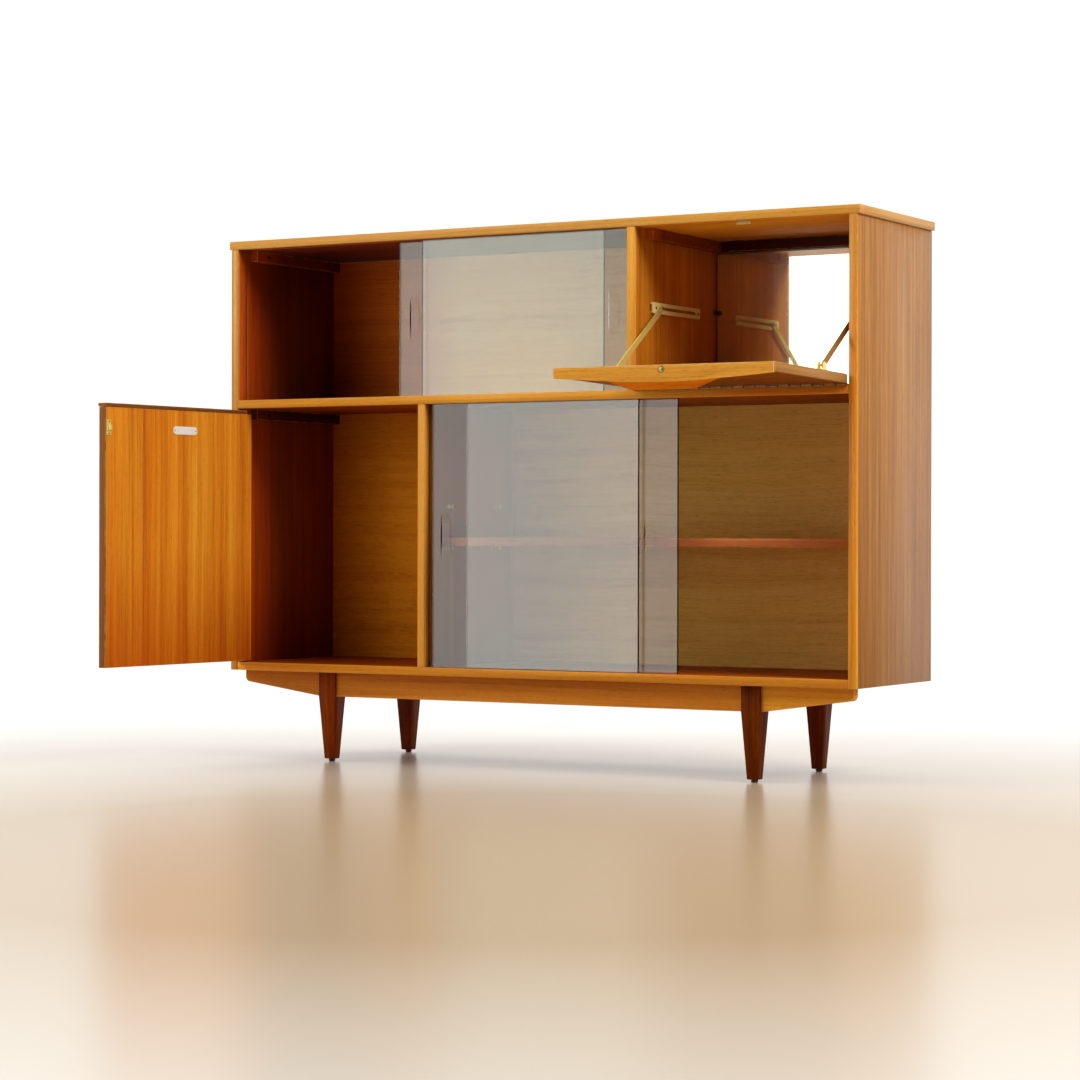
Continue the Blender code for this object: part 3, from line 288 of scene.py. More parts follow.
# near-black copy for battens deep in shade: painted shade
shadedBatten = dict(
    shadeVeneer, dark=(0.05, 0.008, 0.001), middle=(0.08, 0.013, 0.001), light=(0.11, 0.020, 0.002),
)
# dark copy for the divider's batten, painted lighter at its front: painted shade and painted light
brownBatten = dict(
    insideVeneer, dark=(0.17, 0.036, 0.002), middle=(0.24, 0.056, 0.003), light=(0.31, 0.084, 0.006),
    fades=((1, 0.068, 0.10, (1.7, 2.0, 1.6), plain),),
)
honeyLip = dict(
    teakVeneer, dark=(0.42, 0.148, 0.008), middle=(0.57, 0.232, 0.018), light=(0.66, 0.310, 0.036),
    ribbon=1.6, red=(0.96, 0.82, 0.60), pore=0.6, gloss=0.10,
)
paleLip = dict(honeyLip, dark=(0.48, 0.190, 0.016), middle=(0.64, 0.290, 0.034), light=(0.74, 0.380, 0.062))
flapLip = dict(paleLip, dark=(0.52, 0.215, 0.020), middle=(0.70, 0.330, 0.045), light=(0.80, 0.430, 0.080))
# front edge of the top, painted paler towards the right: painted light
topLip = dict(
    honeyLip, dark=(0.41, 0.163, 0.013), middle=(0.56, 0.256, 0.026), light=(0.65, 0.343, 0.048),
    fades=((0, -0.15, 0.30, plain, (1.07, 1.17, 1.6)),),
)
# darker, redder edge where the open flap shades the shelf: painted shadow
flapShadowLip = dict(honeyLip, dark=(0.41, 0.108, 0.006), middle=(0.55, 0.168, 0.013), light=(0.64, 0.225, 0.025))
# right side's front edge, painted lighter low down and darker high up: painted light and shade
sideLip = dict(
    honeyLip, dark=(0.50, 0.152, 0.004), middle=(0.68, 0.235, 0.008), light=(0.79, 0.318, 0.016),
    gloss=0.03,
    fades=((2, 0.16, 0.50, (1.25, 1.50, 1.80), plain), (2, 0.56, 0.86, plain, (0.66, 0.73, 0.78))),
)
leftLip = dict(honeyLip, dark=(0.37, 0.128, 0.006), middle=(0.50, 0.200, 0.013), light=(0.58, 0.268, 0.027))
# divider's front edge, painted lighter low down and darker at the top: painted light and shade
postLip = dict(
    paleLip,
    fades=(
        (2, 0.18, 0.46, (1.30, 1.30, 1.70), (1.0, 1.0, 1.30)),
        (2, 0.46, 0.62, plain, (0.90, 0.88, 0.85)),
    ),
)
# bottom's front edge, painted lighter and yellower at the left: painted light
lowLip = dict(
    honeyLip, dark=(0.40, 0.122, 0.010), middle=(0.55, 0.190, 0.018), light=(0.65, 0.265, 0.036),
    fades=((0, -0.55, -0.10, (1.35, 1.40, 0.75), (1.0, 1.08, 1.0)),),
)
topEnd = dict(honeyLip, dark=(0.36, 0.168, 0.036), middle=(0.50, 0.262, 0.066), light=(0.60, 0.345, 0.108))
topBlock = dict(topEnd, dark=(0.46, 0.200, 0.055), middle=(0.58, 0.280, 0.085), light=(0.64, 0.335, 0.112))
endLip = dict(honeyLip, dark=(0.26, 0.110, 0.022), middle=(0.37, 0.172, 0.042), light=(0.45, 0.230, 0.068))
# the pull's scoop is painted a deeper orange than its face (painted shading), its edges a pale painted
# highlight, and a painted shade ring round the ball catch
flapScoop = dict(
    honeyLip, dark=(0.48, 0.105, 0.002), middle=(0.64, 0.160, 0.002), light=(0.74, 0.215, 0.004),
    gloss=0.04, worn=(1.0, 0.78, 0.40), stain=("flap_ball_catch", 0.0062),
)
# rail painted lighter at its right end: painted light
railTeak = dict(
    teakVeneer, dark=(0.37, 0.100, 0.005), middle=(0.54, 0.172, 0.010), light=(0.66, 0.245, 0.021),
    pore=0.5, gloss=0.08, fades=((0, 0.40, 0.46, plain, (1.3, 1.6, 1.5)),),
)
doorEdge = dict(
    teakVeneer, dark=(0.12, 0.039, 0.006), middle=(0.20, 0.069, 0.012), light=(0.27, 0.098, 0.020),
    gloss=0.08,
)
shelfEdge = dict(
    insideVeneer, dark=(0.36, 0.095, 0.026), middle=(0.49, 0.145, 0.042), light=(0.57, 0.190, 0.060),
    fades=(),
)
backVeneer = {
    "dark": (0.68, 0.340, 0.062),
    "middle": (0.86, 0.470, 0.108),
    "light": (0.92, 0.560, 0.155),
    "red": (0.96, 0.86, 0.66),
    "ribbon": 1.5,
    "wander": 0.030,
    "leaf": 0.6,
    "fibre": 0.42,
    "pore": 0.55,
    "worn": (0.46, 0.25, 0.09),
    "wear": 0.0006,
    "roughness": 0.58,
    "gloss": 0.12,
    "fades": (),
    "stain": None,
}
# redder, darker copy for the left part of the back, darker still at the far left and in the upper bay:
# painted shade
shadedRedBack = dict(
    backVeneer, dark=(0.60, 0.170, 0.006), middle=(0.80, 0.265, 0.011), light=(0.88, 0.340, 0.020),
    ribbon=0.8,
    fades=(
        (2, 0.60, 0.66, (1.12, 1.20, 1.0), (1.10, 0.72, 0.50)),
        (2, 0.46, 0.60, plain, (0.72, 0.62, 0.60)),
        (0, -0.58, -0.44, (0.60, 0.40, 0.40), (1.14, 1.35, 1.50)),
    ),
)
rawBack = dict(
    backVeneer, dark=(0.24, 0.130, 0.050), middle=(0.34, 0.200, 0.090), light=(0.42, 0.265, 0.135),
    roughness=0.75,
)
legWood = {
    "dark": (0.070, 0.009, 0.001),
    "middle": (0.130, 0.019, 0.0012),
    "light": (0.200, 0.036, 0.0025),
    "red": (0.95, 0.80, 0.70),
    "ribbon": 2.4,
    "wander": 0.008,
    "leaf": 0.5,
    "fibre": 0.16,
    "pore": 0.5,
    "worn": (0.25, 0.07, 0.015),
    "wear": 0.0018,
    "roughness": 0.36,
    "gloss": 0.04,
    "fades": (),
    "stain": None,
}
# lighter copy for the front left leg (painted light) and darker one for the front right leg (painted shade)
litLeg = dict(legWood, dark=(0.14, 0.020, 0.001), middle=(0.24, 0.038, 0.0012), light=(0.33, 0.064, 0.003))
shadedLeg = dict(
    legWood, dark=(0.085, 0.014, 0.001), middle=(0.140, 0.026, 0.0014), light=(0.21, 0.046, 0.003),
    gloss=0.02,
)
lipDepth = 0.0065  # solid edging glued to a board's front
skinDepth = 0.0004  # veneer on one face
edgeDepth = 0.0009  # a planed edge and its softened corner
glueLine = 0.00035
boardSides = {  # axis, and whether the side is at its far end
    "left": (0, False), "right": (0, True), "front": (1, False), "rear": (1, True),
    "under": (2, False), "over": (2, True),
}
woodSurface = {
    "rampEnds": (0.18, 0.82),  # tones at which dark and light are full
    "redShare": 0.6,
    "seamShare": 0.5,
    "poreTint": (0.55, 0.45, 0.35),
    "paintedShadeRingTint": (0.22, 0.16, 0.12),
    "paintedShadeRingShare": 0.75,
    "paintedShadeRingCore": 0.8,  # share of the painted shade ring that is full
    "wornAndHighlightShare": 0.45,
    "cloudSize": 7.0,
    "dull": {"start": -0.06, "fibre": 0.08, "cloud": 0.07, "wear": 0.12},  # added to a finish's roughness
    "fibreRelief": 0.4,
    "relief": 0.22,
    "reliefDepth": 0.0004,
}


def toneRamp(tree, tone, red, finish, axes):
    shades = put(tree, "ValToRGB", {0: tone})
    ramp = shades.color_ramp
    ramp.elements[0].position, ramp.elements[1].position = woodSurface["rampEnds"]
    ramp.elements[0].color = colour(finish["dark"])
    ramp.elements[1].color = colour(finish["light"])
    ramp.elements.new(0.5).color = colour(finish["middle"])
    redder = calc(tree, "MULTIPLY", red, woodSurface["redShare"])
    paint = blendColours(tree, redder, shades.outputs[0], colour(finish["red"]), "MULTIPLY")
    # multiply in painted light and shade, each a tint that changes along one axis
    for axis, start, end, first, last in finish["fades"]:
        tint = blendColours(tree, remap(tree, axes[axis], start, end), colour(first), colour(last))
        paint = vecCalc(tree, "MULTIPLY", paint, tint)
    return paint


def readFigure(tree, here, grain, finish, seed):
    turned = put(tree, "Mapping", {"Vector": here, "Rotation": grainTurns[grain]}).outputs[0]
    feeds = {"Vector": turned, "Seed": seed}
    feeds.update({label: finish[label.lower()] for label in ("Ribbon", "Wander", "Leaf")})
    figure = put(tree, "Group", feeds, node_tree=woodFigure).outputs
    # ribbons carry most of the colour, fibres break them up
    fine = calc(tree, "MULTIPLY", figure["Fibre"], finish["fibre"])
    tone = calc(tree, "MULTIPLY_ADD", figure["Ribbon"], 1.0 - finish["fibre"], fine)
    return figure, tone


doorTurn = (0.0, 0.0, 0.0733)  # radians that square the open door, and the flap below, with the case
flapTurn = (0.0205, 0.0, 0.0)
boardTurns = {  # the boards that stand open are levelled before their sides are told apart
    "door_panel": doorTurn, "door_pull": doorTurn, "flap_panel": flapTurn, "flap_pull": flapTurn,
}


def makeWood(name, finish, grain, node, seed, sides):
    material, tree, shader, here = startMaterial(name)
    turn = Euler(boardTurns.get(node, (0.0, 0.0, 0.0)))
    if node in boardTurns:
        here = put(tree, "Mapping", {"Vector": here, "Rotation": turn}).outputs[0]
    corners = [turn.to_matrix() @ corner.co for corner in nodes[node].data.vertices]
    low = Vector([min(corner[axis] for corner in corners) for axis in range(3)])
    high = Vector([max(corner[axis] for corner in corners) for axis in range(3)])
    figure, tone = readFigure(tree, here, grain, finish, seed)
    size = woodSurface["cloudSize"]
    cloud = put(tree, "Group", {"Vector": here, "Size": size}, node_tree=handling).outputs["Cloud"]
    axes = put(tree, "SeparateXYZ", {0: here}).outputs
    paint = toneRamp(tree, tone, figure["Red"], finish, axes)
    for side, other, depth, way, *reach in sides:
        axis, far = boardSides[side]
        start = high[axis] - depth if far else low[axis] + depth
        there = calc(tree, "GREATER_THAN" if far else "LESS_THAN", axes[axis], start)
        if reach:  # only part of that side, fading out between two places along an axis
            part = remap(tree, axes[reach[0]], reach[1], reach[2], 1.0, 0.0)
            there = calc(tree, "MULTIPLY", there, part)
        sideFigure, sideTone = (figure, tone) if way == grain else readFigure(tree, here, way, other, seed)
        sidePaint = toneRamp(tree, sideTone, sideFigure["Red"], other, axes)
        paint = blendColours(tree, there, paint, sidePaint)
        if depth == lipDepth:  # solid edging shows its glue line
            seam = calc(tree, "COMPARE", axes[axis], start, glueLine)
            seam = calc(tree, "MULTIPLY", seam, woodSurface["seamShare"])
            paint = blendColours(tree, seam, paint, colour(finish["dark"]))
    pores = calc(tree, "MULTIPLY", figure["Pore"], finish["pore"])
    paint = blendColours(tree, pores, paint, colour(woodSurface["poreTint"]), "MULTIPLY")
    # painted shade: a dark ring round a fitting's hole
    if finish["stain"]:
        fitting, reach = finish["stain"]
        centre = turn.to_matrix() @ (sum(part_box(fitting), Vector()) / 2)
        away = vecCalc(tree, "MULTIPLY", vecCalc(tree, "SUBTRACT", here, centre), (1.0, 0.0, 1.0))
        away = put(tree, "VectorMath", {0: away}, operation="LENGTH").outputs["Value"]
        ring = remap(tree, away, reach * woodSurface["paintedShadeRingCore"], reach, woodSurface["paintedShadeRingShare"], 0.0)
        paint = blendColours(tree, ring, paint, colour(woodSurface["paintedShadeRingTint"]), "MULTIPLY")
    wear = put(
        tree, "Group",
        {"Vector": here, "Centre": (low + high) / 2, "Half": (high - low) / 2, "Width": finish["wear"]},
        node_tree=edgeWear,
    ).outputs[0]
    # edge tint: real wear on most boards, a painted highlight along the flap pull's edges
    worn = calc(tree, "MULTIPLY", wear, woodSurface["wornAndHighlightShare"])
    tree.links.new(blendColours(tree, worn, paint, colour(finish["worn"])), shader.inputs["Base Color"])
    dull = finish["roughness"] + woodSurface["dull"]["start"]
    for mark, value in (("fibre", figure["Fibre"]), ("cloud", cloud), ("wear", wear)):
        dull = calc(tree, "MULTIPLY_ADD", value, woodSurface["dull"][mark], dull)
    tree.links.new(dull, shader.inputs["Roughness"])
    shader.inputs["Specular IOR Level"].default_value = finish["gloss"]
    fibres = calc(tree, "MULTIPLY", figure["Fibre"], woodSurface["fibreRelief"])
    relief = calc(tree, "SUBTRACT", fibres, figure["Pore"])
    feeds = {"Height": relief, "Strength": woodSurface["relief"], "Distance": woodSurface["reliefDepth"]}
    tree.links.new(put(tree, "Bump", feeds).outputs[0], shader.inputs["Normal"])
    return material


agedBrass = {
    "bright": (0.86, 0.70, 0.18),
    "tarnish": (0.60, 0.46, 0.10),
    "amount": 0.5,  # of the tarnish
    "roughness": 0.42,
    "metallic": 0.45,
    "joints": None,  # start, pitch and width of the dark joints between knuckles
}
# near-white, hardly metallic brass for the stay channels: painted light standing in for a reflection
channelBrass = dict(
    agedBrass, bright=(1.0, 0.96, 0.40), tarnish=(0.95, 0.86, 0.32), metallic=0.06, amount=0.4,
)
# dark brass for small fittings; on the batten screws and arm rivets it also stands in for the dark holes:
# painted shade
darkBrass = dict(
    agedBrass, bright=(0.12, 0.075, 0.03), tarnish=(0.035, 0.02, 0.01), roughness=0.55, metallic=0.7,
    amount=0.8,
)
catchBrass = dict(
    agedBrass, bright=(0.30, 0.22, 0.08), tarnish=(0.14, 0.09, 0.03), roughness=0.26, metallic=1.0,
    amount=0.7,
)
strikeBrass = dict(channelBrass, bright=(0.58, 0.42, 0.12), tarnish=(0.40, 0.27, 0.06), amount=0.8)
# darker copy for the right stay arm, which is in shade: painted shade
armBrass = dict(agedBrass, bright=(0.40, 0.20, 0.045), tarnish=(0.26, 0.12, 0.025), metallic=0.95)
hingeBrass = dict(
    agedBrass, bright=(0.34, 0.17, 0.08), tarnish=(0.15, 0.07, 0.03), roughness=0.50, metallic=0.7,
    amount=0.8, joints=(0.2183, 0.02005, 0.0009),
)
dullSteel = dict(
    agedBrass, bright=(0.42, 0.41, 0.39), tarnish=(0.16, 0.12, 0.09), roughness=0.38, metallic=1.0,
    amount=0.6,
)
plateMetal = dict(
    agedBrass, bright=(0.92, 0.92, 0.89), tarnish=(0.74, 0.72, 0.66), roughness=0.34, metallic=0.1,
    amount=0.4,
)
metalSurface = {
    "size": 140.0,
    "jointTint": (0.012, 0.008, 0.006),
    "dull": {"start": -0.06, "tarnish": 0.16, "rub": 0.10},  # added to a finish's roughness
    "relief": 0.12,
    "reliefDepth": 0.0001,
}


def makeMetal(name, finish):
    material, tree, shader, here = startMaterial(name)
    age = put(tree, "Group", {"Vector": here, "Size": metalSurface["size"]}, node_tree=metalAge).outputs
    amount = calc(tree, "MULTIPLY", age["Tarnish"], finish["amount"])
    paint = blendColours(tree, amount, colour(finish["bright"]), colour(finish["tarnish"]))
    if finish["joints"]:
        start, pitch, width = finish["joints"]
        along = calc(tree, "SUBTRACT", put(tree, "SeparateXYZ", {0: here}).outputs[0], start)
        nearest = calc(tree, "PINGPONG", along, pitch)
        nearest = calc(tree, "MINIMUM", nearest, calc(tree, "SUBTRACT", pitch, nearest))
        joint = calc(tree, "LESS_THAN", nearest, width)
        paint = blendColours(tree, joint, paint, colour(metalSurface["jointTint"]))
    tree.links.new(paint, shader.inputs["Base Color"])
    shader.inputs["Metallic"].default_value = finish["metallic"]
    dull = finish["roughness"] + metalSurface["dull"]["start"]
    for mark in ("Tarnish", "Rub"):
        dull = calc(tree, "MULTIPLY_ADD", age[mark], metalSurface["dull"][mark.lower()], dull)
    tree.links.new(dull, shader.inputs["Roughness"])
    feeds = {"Strength": metalSurface["relief"], "Distance": metalSurface["reliefDepth"]}
    bump = put(tree, "Bump", dict(feeds, Height=age["Rub"]))
    tree.links.new(bump.outputs[0], shader.inputs["Normal"])
    return material


def outlineMask(tree, here, node, width):
    # within a width of a glass's outline, as seen from the front
    low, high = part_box(node)
    away = vecCalc(tree, "SUBTRACT", here, (low + high) / 2)
    away = put(tree, "VectorMath", {0: away}, operation="ABSOLUTE").outputs[0]
    depth = put(tree, "SeparateXYZ", {0: vecCalc(tree, "SUBTRACT", (high - low) / 2, away)}).outputs
    return calc(tree, "LESS_THAN", calc(tree, "MINIMUM", depth[0], depth[2]), width)


paneGlass = {
    "clear": (0.97, 0.975, 0.96),
    "edge": (0.10, 0.16, 0.13),
    "rim": 0.0006,
    "roughness": 0.0,
    "smear": 0.004,
    "smearSize": 9.0,
    "index": 1.5,
    "through": (0.96, 0.98, 0.97),  # tint of the light that passes
}


def makePane(name, node, finish):
    # clear glass whose ground edges look dark green, with faint smears
    material, tree, shader, here = startMaterial(name)
    rim = outlineMask(tree, here, node, finish["rim"])
    paint = blendColours(tree, rim, colour(finish["clear"]), colour(finish["edge"]))
    tree.links.new(paint, shader.inputs["Base Color"])
    smear = put(tree, "Group", {"Vector": here, "Size": finish["smearSize"]}, node_tree=handling)
    dull = calc(tree, "MULTIPLY_ADD", smear.outputs["Cloud"], finish["smear"], finish["roughness"])
    tree.links.new(dull, shader.inputs["Roughness"])
    shader.inputs["Transmission Weight"].default_value = 1.0
    shader.inputs["IOR"].default_value = finish["index"]
    # light reaches the shelves through the pane
    turnedBack = put(tree, "Fresnel", {"IOR": finish["index"]}).outputs[0]
    through = blendColours(tree, turnedBack, colour(finish["through"]), (0.0, 0.0, 0.0, 1.0))
    lit = put(tree, "BsdfTransparent", {"Color": through})
    ray = put(tree, "LightPath").outputs["Is Shadow Ray"]
    either = put(tree, "MixShader", {0: ray, 1: shader.outputs[0], 2: lit.outputs[0]})
    tree.links.new(either.outputs[0], tree.nodes["Material Output"].inputs["Surface"])
    return material


mirrorSilver = {
    "bright": (0.95, 0.96, 0.88),
    "hazed": (0.74, 0.76, 0.46),
    "hazeEnd": (0.35, 0.40),  # the haze clears between these places across
    "hazeLeft": 0.1,  # share of it that stays on the clear side
    "hazeDepth": (0.30, 0.5),  # its least, and what its clouds add
    "cloudSize": 14.0,
    "silver": 0.98,
    "edge": (0.14, 0.14, 0.10),
    "rim": 0.0022,
    "roughness": 0.015,
    "filmRoughness": 0.27,  # a greasy film that spreads bright reflections
    "filmIndex": 1.9,
}


def makeMirror(name, node, finish):
    # silvered glass, clouded with age, its ground edge showing as a dark line
    material, tree, shader, here = startMaterial(name)
    marks = put(tree, "Group", {"Vector": here, "Size": finish["cloudSize"]}, node_tree=handling).outputs
    axes = put(tree, "SeparateXYZ", {0: here}).outputs
    least, more = finish["hazeDepth"]
    haze = calc(tree, "MULTIPLY_ADD", remap(tree, marks["Cloud"], 0.35, 0.95), more, least)
    haze = calc(tree, "MULTIPLY", haze, remap(tree, axes[0], *finish["hazeEnd"], 1.0, finish["hazeLeft"]))
    paint = blendColours(tree, haze, colour(finish["bright"]), colour(finish["hazed"]))
    rim = outlineMask(tree, here, node, finish["rim"])
    tree.links.new(blendColours(tree, rim, paint, colour(finish["edge"])), shader.inputs["Base Color"])
    silver = calc(tree, "MULTIPLY_ADD", haze, -0.30, finish["silver"])
    tree.links.new(calc(tree, "MULTIPLY_ADD", rim, -0.4, silver), shader.inputs["Metallic"])
    dull = calc(tree, "MULTIPLY_ADD", haze, 0.04, finish["roughness"])
    tree.links.new(calc(tree, "MULTIPLY_ADD", marks["Speck"], 0.2, dull), shader.inputs["Roughness"])
    shader.inputs["Coat Weight"].default_value = 1.0
    shader.inputs["Coat Roughness"].default_value = finish["filmRoughness"]
    shader.inputs["Coat IOR"].default_value = finish["filmIndex"]
    return material


pegIvory = {"tone": (1.0, 0.88, 0.44), "aged": (0.92, 0.76, 0.34), "roughness": 0.36}
rubberBlack = {"tone": (0.018, 0.017, 0.016), "aged": (0.05, 0.046, 0.042), "roughness": 0.62}
mouldedSurface = {"size": 160.0, "dull": (-0.07, 0.15), "relief": 0.15, "reliefDepth": 0.0001}


def makeMoulded(name, finish):
    material, tree, shader, here = startMaterial(name)
    marks = put(tree, "Group", {"Vector": here, "Size": mouldedSurface["size"]}, node_tree=handling).outputs
    paint = blendColours(tree, marks["Cloud"], colour(finish["tone"]), colour(finish["aged"]))
    tree.links.new(paint, shader.inputs["Base Color"])
    start, more = mouldedSurface["dull"]
    dull = calc(tree, "MULTIPLY_ADD", marks["Cloud"], more, finish["roughness"] + start)
    tree.links.new(dull, shader.inputs["Roughness"])
    feeds = {"Strength": mouldedSurface["relief"], "Distance": mouldedSurface["reliefDepth"]}
    bump = put(tree, "Bump", dict(feeds, Height=marks["Speck"]))
    tree.links.new(bump.outputs[0], shader.inputs["Normal"])
    return material


def giveFinish(piece, material):
    piece.data.materials.clear()
    piece.data.materials.append(material)


# Boards of the case: veneer, way of the grain, and the sides that differ

# parts of a side: the axis, and the two places along it between which a finish fades out
leftOfDrinks = (0, 0.203, 0.217)
topEdging = (1, 0.0594, 0.0600)
shelfLeft = (0, -0.25, -0.10)
shelfRight = (0, 0.45, 0.24)
backLeft = (0, -0.385, -0.30)
doorEdgeDepth = 0.0016
backDepth = 0.002
seedStep = 3.1  # between one board's figure and the next
boards = {
    "top_panel": (
        topVeneer, "across",
        ("under", litCeilingVeneer, skinDepth, "across"),
        # painted shade on the ceiling left of the drinks bay
        ("under", shadedCeilingVeneer, skinDepth, "across", *leftOfDrinks),
        ("over", honeyLip, skinDepth, "across", *topEdging),
        ("left", topEnd, lipDepth, "deep"),
        ("right", topEnd, lipDepth, "deep"),
        ("front", topLip, lipDepth, "across"),
        ("left", topBlock, skinDepth, "across", *topEdging),
        ("right", topBlock, skinDepth, "across", *topEdging),
    ),
    "left_side": (
        sideVeneer, "up",
        ("right", shadeVeneer, skinDepth, "up"),
        ("front", leftLip, lipDepth, "up"),
    ),
    "right_side": (
        sideVeneer, "up",
        ("left", insideVeneer, skinDepth, "up"),
        ("front", sideLip, lipDepth, "up"),
    ),
    "bottom_panel": (shadedFloorVeneer, "across", ("front", lowLip, lipDepth, "across")),
    "middle_shelf": (
        shadedFloorVeneer, "across",
        ("front", paleLip, lipDepth, "across"),
        ("front", honeyLip, skinDepth, "across", *shelfLeft),
        # the shelf's edge under the flap, in painted shadow
        ("front", flapShadowLip, skinDepth, "across", *shelfRight),
    ),
    "upper_divider": (insideVeneer, "up", ("front", paleLip, lipDepth, "up")),
    "lower_divider": (
        insideVeneer, "up",
        ("right", calmVeneer, skinDepth, "up"),
        ("front", postLip, lipDepth, "up"),
    ),
    "batten_top_left": (shadeVeneer, "deep"),
    "batten_top_divider": (brownBatten, "deep"),
    "batten_top_right": (insideVeneer, "deep"),
    "batten_middle_left": (shadedBatten, "deep"),
    "batten_top_back": (shadedBatten, "across"),
    "front_rail": (railTeak, "across"),
    "rear_rail": (railTeak, "across"),
    "loose_shelf": (insideVeneer, "across", ("front", shelfEdge, lipDepth, "across")),
    "flap_panel": (
        teakVeneer, "across",
        ("under", shadedOuterVeneer, skinDepth, "across"),
        ("left", endLip, lipDepth, "deep"),
        ("right", endLip, lipDepth, "deep"),
    ),
    "flap_pull": (
        flapScoop, "across",
        ("over", flapLip, skinDepth, "across"),
        ("front", flapLip, edgeDepth, "across"),
        ("left", endLip, skinDepth, "deep"),
        ("right", endLip, skinDepth, "deep"),
    ),
    "door_panel": (
        doorVeneer, "up",
        ("left", shadedOuterVeneer, skinDepth, "up"),
        ("front", doorEdge, doorEdgeDepth, "up"),
    ),
    "door_pull": (doorEdge, "deep"),
    "back_panel": (
        backVeneer, "across",
        # left part of the back in painted shade
        ("front", shadedRedBack, backDepth, "across", *backLeft),
        ("rear", rawBack, skinDepth, "across"),
    ),
    "leg_front_left": (litLeg, "up"),
    "leg_front_right": (shadedLeg, "up"),
    "leg_rear_left": (legWood, "up"),
    "leg_rear_right": (legWood, "up"),
}
for count, (name, (finish, grain, *sides)) in enumerate(boards.items()):
    giveFinish(nodes[name], makeWood(name + "_wood", finish, grain, name, seedStep * count, sides))
paneNames = ("upper_rear_glass", "upper_front_glass", "lower_front_glass", "lower_rear_glass")
for name in paneNames:
    giveFinish(nodes[name], makePane(name + "_pane", name, paneGlass))
giveFinish(nodes["mirror"], makeMirror("mirrorSilver", "mirror", mirrorSilver))
brass = makeMetal("agedBrass", agedBrass)
brassDarkAndHoleShade = makeMetal("darkBrass", darkBrass)
brassCatch = makeMetal("catchBrass", catchBrass)
brassHinge = makeMetal("hingeBrass", hingeBrass)
brassChannel = makeMetal("channelBrass", channelBrass)
brassStrike = makeMetal("strikeBrass", strikeBrass)
brassArmShaded = makeMetal("armBrass", armBrass)
steel = makeMetal("dullSteel", dullSteel)
plate = makeMetal("plateMetal", plateMetal)
ivory = makeMoulded("pegIvory", pegIvory)
rubber = makeMoulded("rubberBlack", rubberBlack)
slotFinishes = {
    "brass": brass, "steel": steel, "plate_metal": plate, "ivory_plastic": ivory, "black_rubber": rubber,
}
for name, node in nodes.items():
    given = node.data.materials[0].name if node.data.materials else ""
    if given in slotFinishes:
        giveFinish(node, slotFinishes[given])
darkFittings = (
    "flap_hinge_pin", "door_pivot_upper", "door_pivot_lower", "glide_front_left", "glide_front_right",
    "glide_rear_left", "glide_rear_right",
)
for name in darkFittings:
    giveFinish(nodes[name], brassDarkAndHoleShade)
for name in ("flap_hinge_fixed_leaf", "flap_hinge_moving_leaf"):
    giveFinish(nodes[name], brassHinge)
giveFinish(nodes["flap_ball_catch"], brassCatch)
giveFinish(nodes["stay_arm_right"], brassArmShaded)
for name in ("stay_channel_left", "stay_channel_right"):
    giveFinish(nodes[name], brassChannel)
giveFinish(nodes["flap_strike"], brassStrike)
print("finishes given")

# Softened copies of the solids, so that edges catch the light


def startOn(piece):
    bpy.ops.object.select_all(action="DESELECT")
    piece.select_set(True)
    bpy.context.view_layer.objects.active = piece


def pickFaces(test):
    mesh = bmesh.from_edit_mesh(bpy.context.object.data)
    for face in mesh.faces:
        face.select_set(test(face))
    bmesh.update_edit_mesh(bpy.context.object.data)


easing = {
    "wood": 0.0005,
    "legs": 0.0008,
    "fittings": 0.0002,
    "segments": 2,
    "angle": 50.0,  # degrees, past which an edge counts as sharp
    "paneAngle": 3.0,
    "merge": 0.00001,
    "flat": 0.3,  # degrees, under which faces are one
}


def ease(name, width, angle=easing["angle"]):
    startOn(nodes[name])
    bpy.ops.object.duplicate()
    piece = bpy.context.object
    bpy.ops.object.parent_clear(type="CLEAR_KEEP_TRANSFORM")
    piece.name = name + "_eased"
    bpy.ops.mesh.customdata_custom_splitnormals_clear()
    bpy.ops.object.mode_set(mode="EDIT")
    bpy.ops.mesh.select_all(action="SELECT")
    bpy.ops.mesh.remove_doubles(threshold=easing["merge"])
    bpy.ops.mesh.dissolve_limited(angle_limit=math.radians(easing["flat"]))
    bpy.ops.object.mode_set(mode="OBJECT")
    bpy.ops.object.shade_smooth_by_angle(angle=math.radians(angle))
    if width:
        bevel = piece.modifiers.new("eased", "BEVEL")
        bevel.width = width
        bevel.segments = easing["segments"]
        bevel.limit_method = "ANGLE"
        bevel.angle_limit = math.radians(angle)
        bevel.harden_normals = True
        bpy.ops.object.modifier_apply(modifier="eased")
    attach(piece, bodyOf[name])
    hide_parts(name)


easedWood = (
    "flap_pull", "door_pull", "flap_panel", "door_panel", "front_rail", "rear_rail", "top_panel",
    "loose_shelf", "left_side", "right_side", "upper_divider", "lower_divider", "bottom_panel",
    "middle_shelf", "batten_top_left", "batten_top_divider", "batten_top_right", "batten_middle_left",
    "batten_top_back",
)
easedLegs = ("leg_front_left", "leg_front_right", "leg_rear_left", "leg_rear_right")
easedFittings = (
    "stay_channel_left", "stay_channel_right", "stay_arm_left", "stay_arm_right", "stay_slider_left",
    "stay_slider_right", "stay_bracket_left", "stay_bracket_right", "flap_ball_catch", "door_catch",
    "door_plate", "door_strike", "flap_strike", "door_pivot_lower", "door_pivot_upper", "glide_front_left",
    "glide_front_right", "glide_rear_left", "glide_rear_right", "peg_left_front", "peg_left_back",
    "peg_left_front_spare", "peg_left_back_spare", "peg_right_front", "peg_right_back", "mirror_peg_left",
    "mirror_peg_right",
)
for name in easedWood:
    ease(name, easing["wood"])
for name in easedLegs:
    ease(name, easing["legs"])
for name in easedFittings:
    ease(name, easing["fittings"])
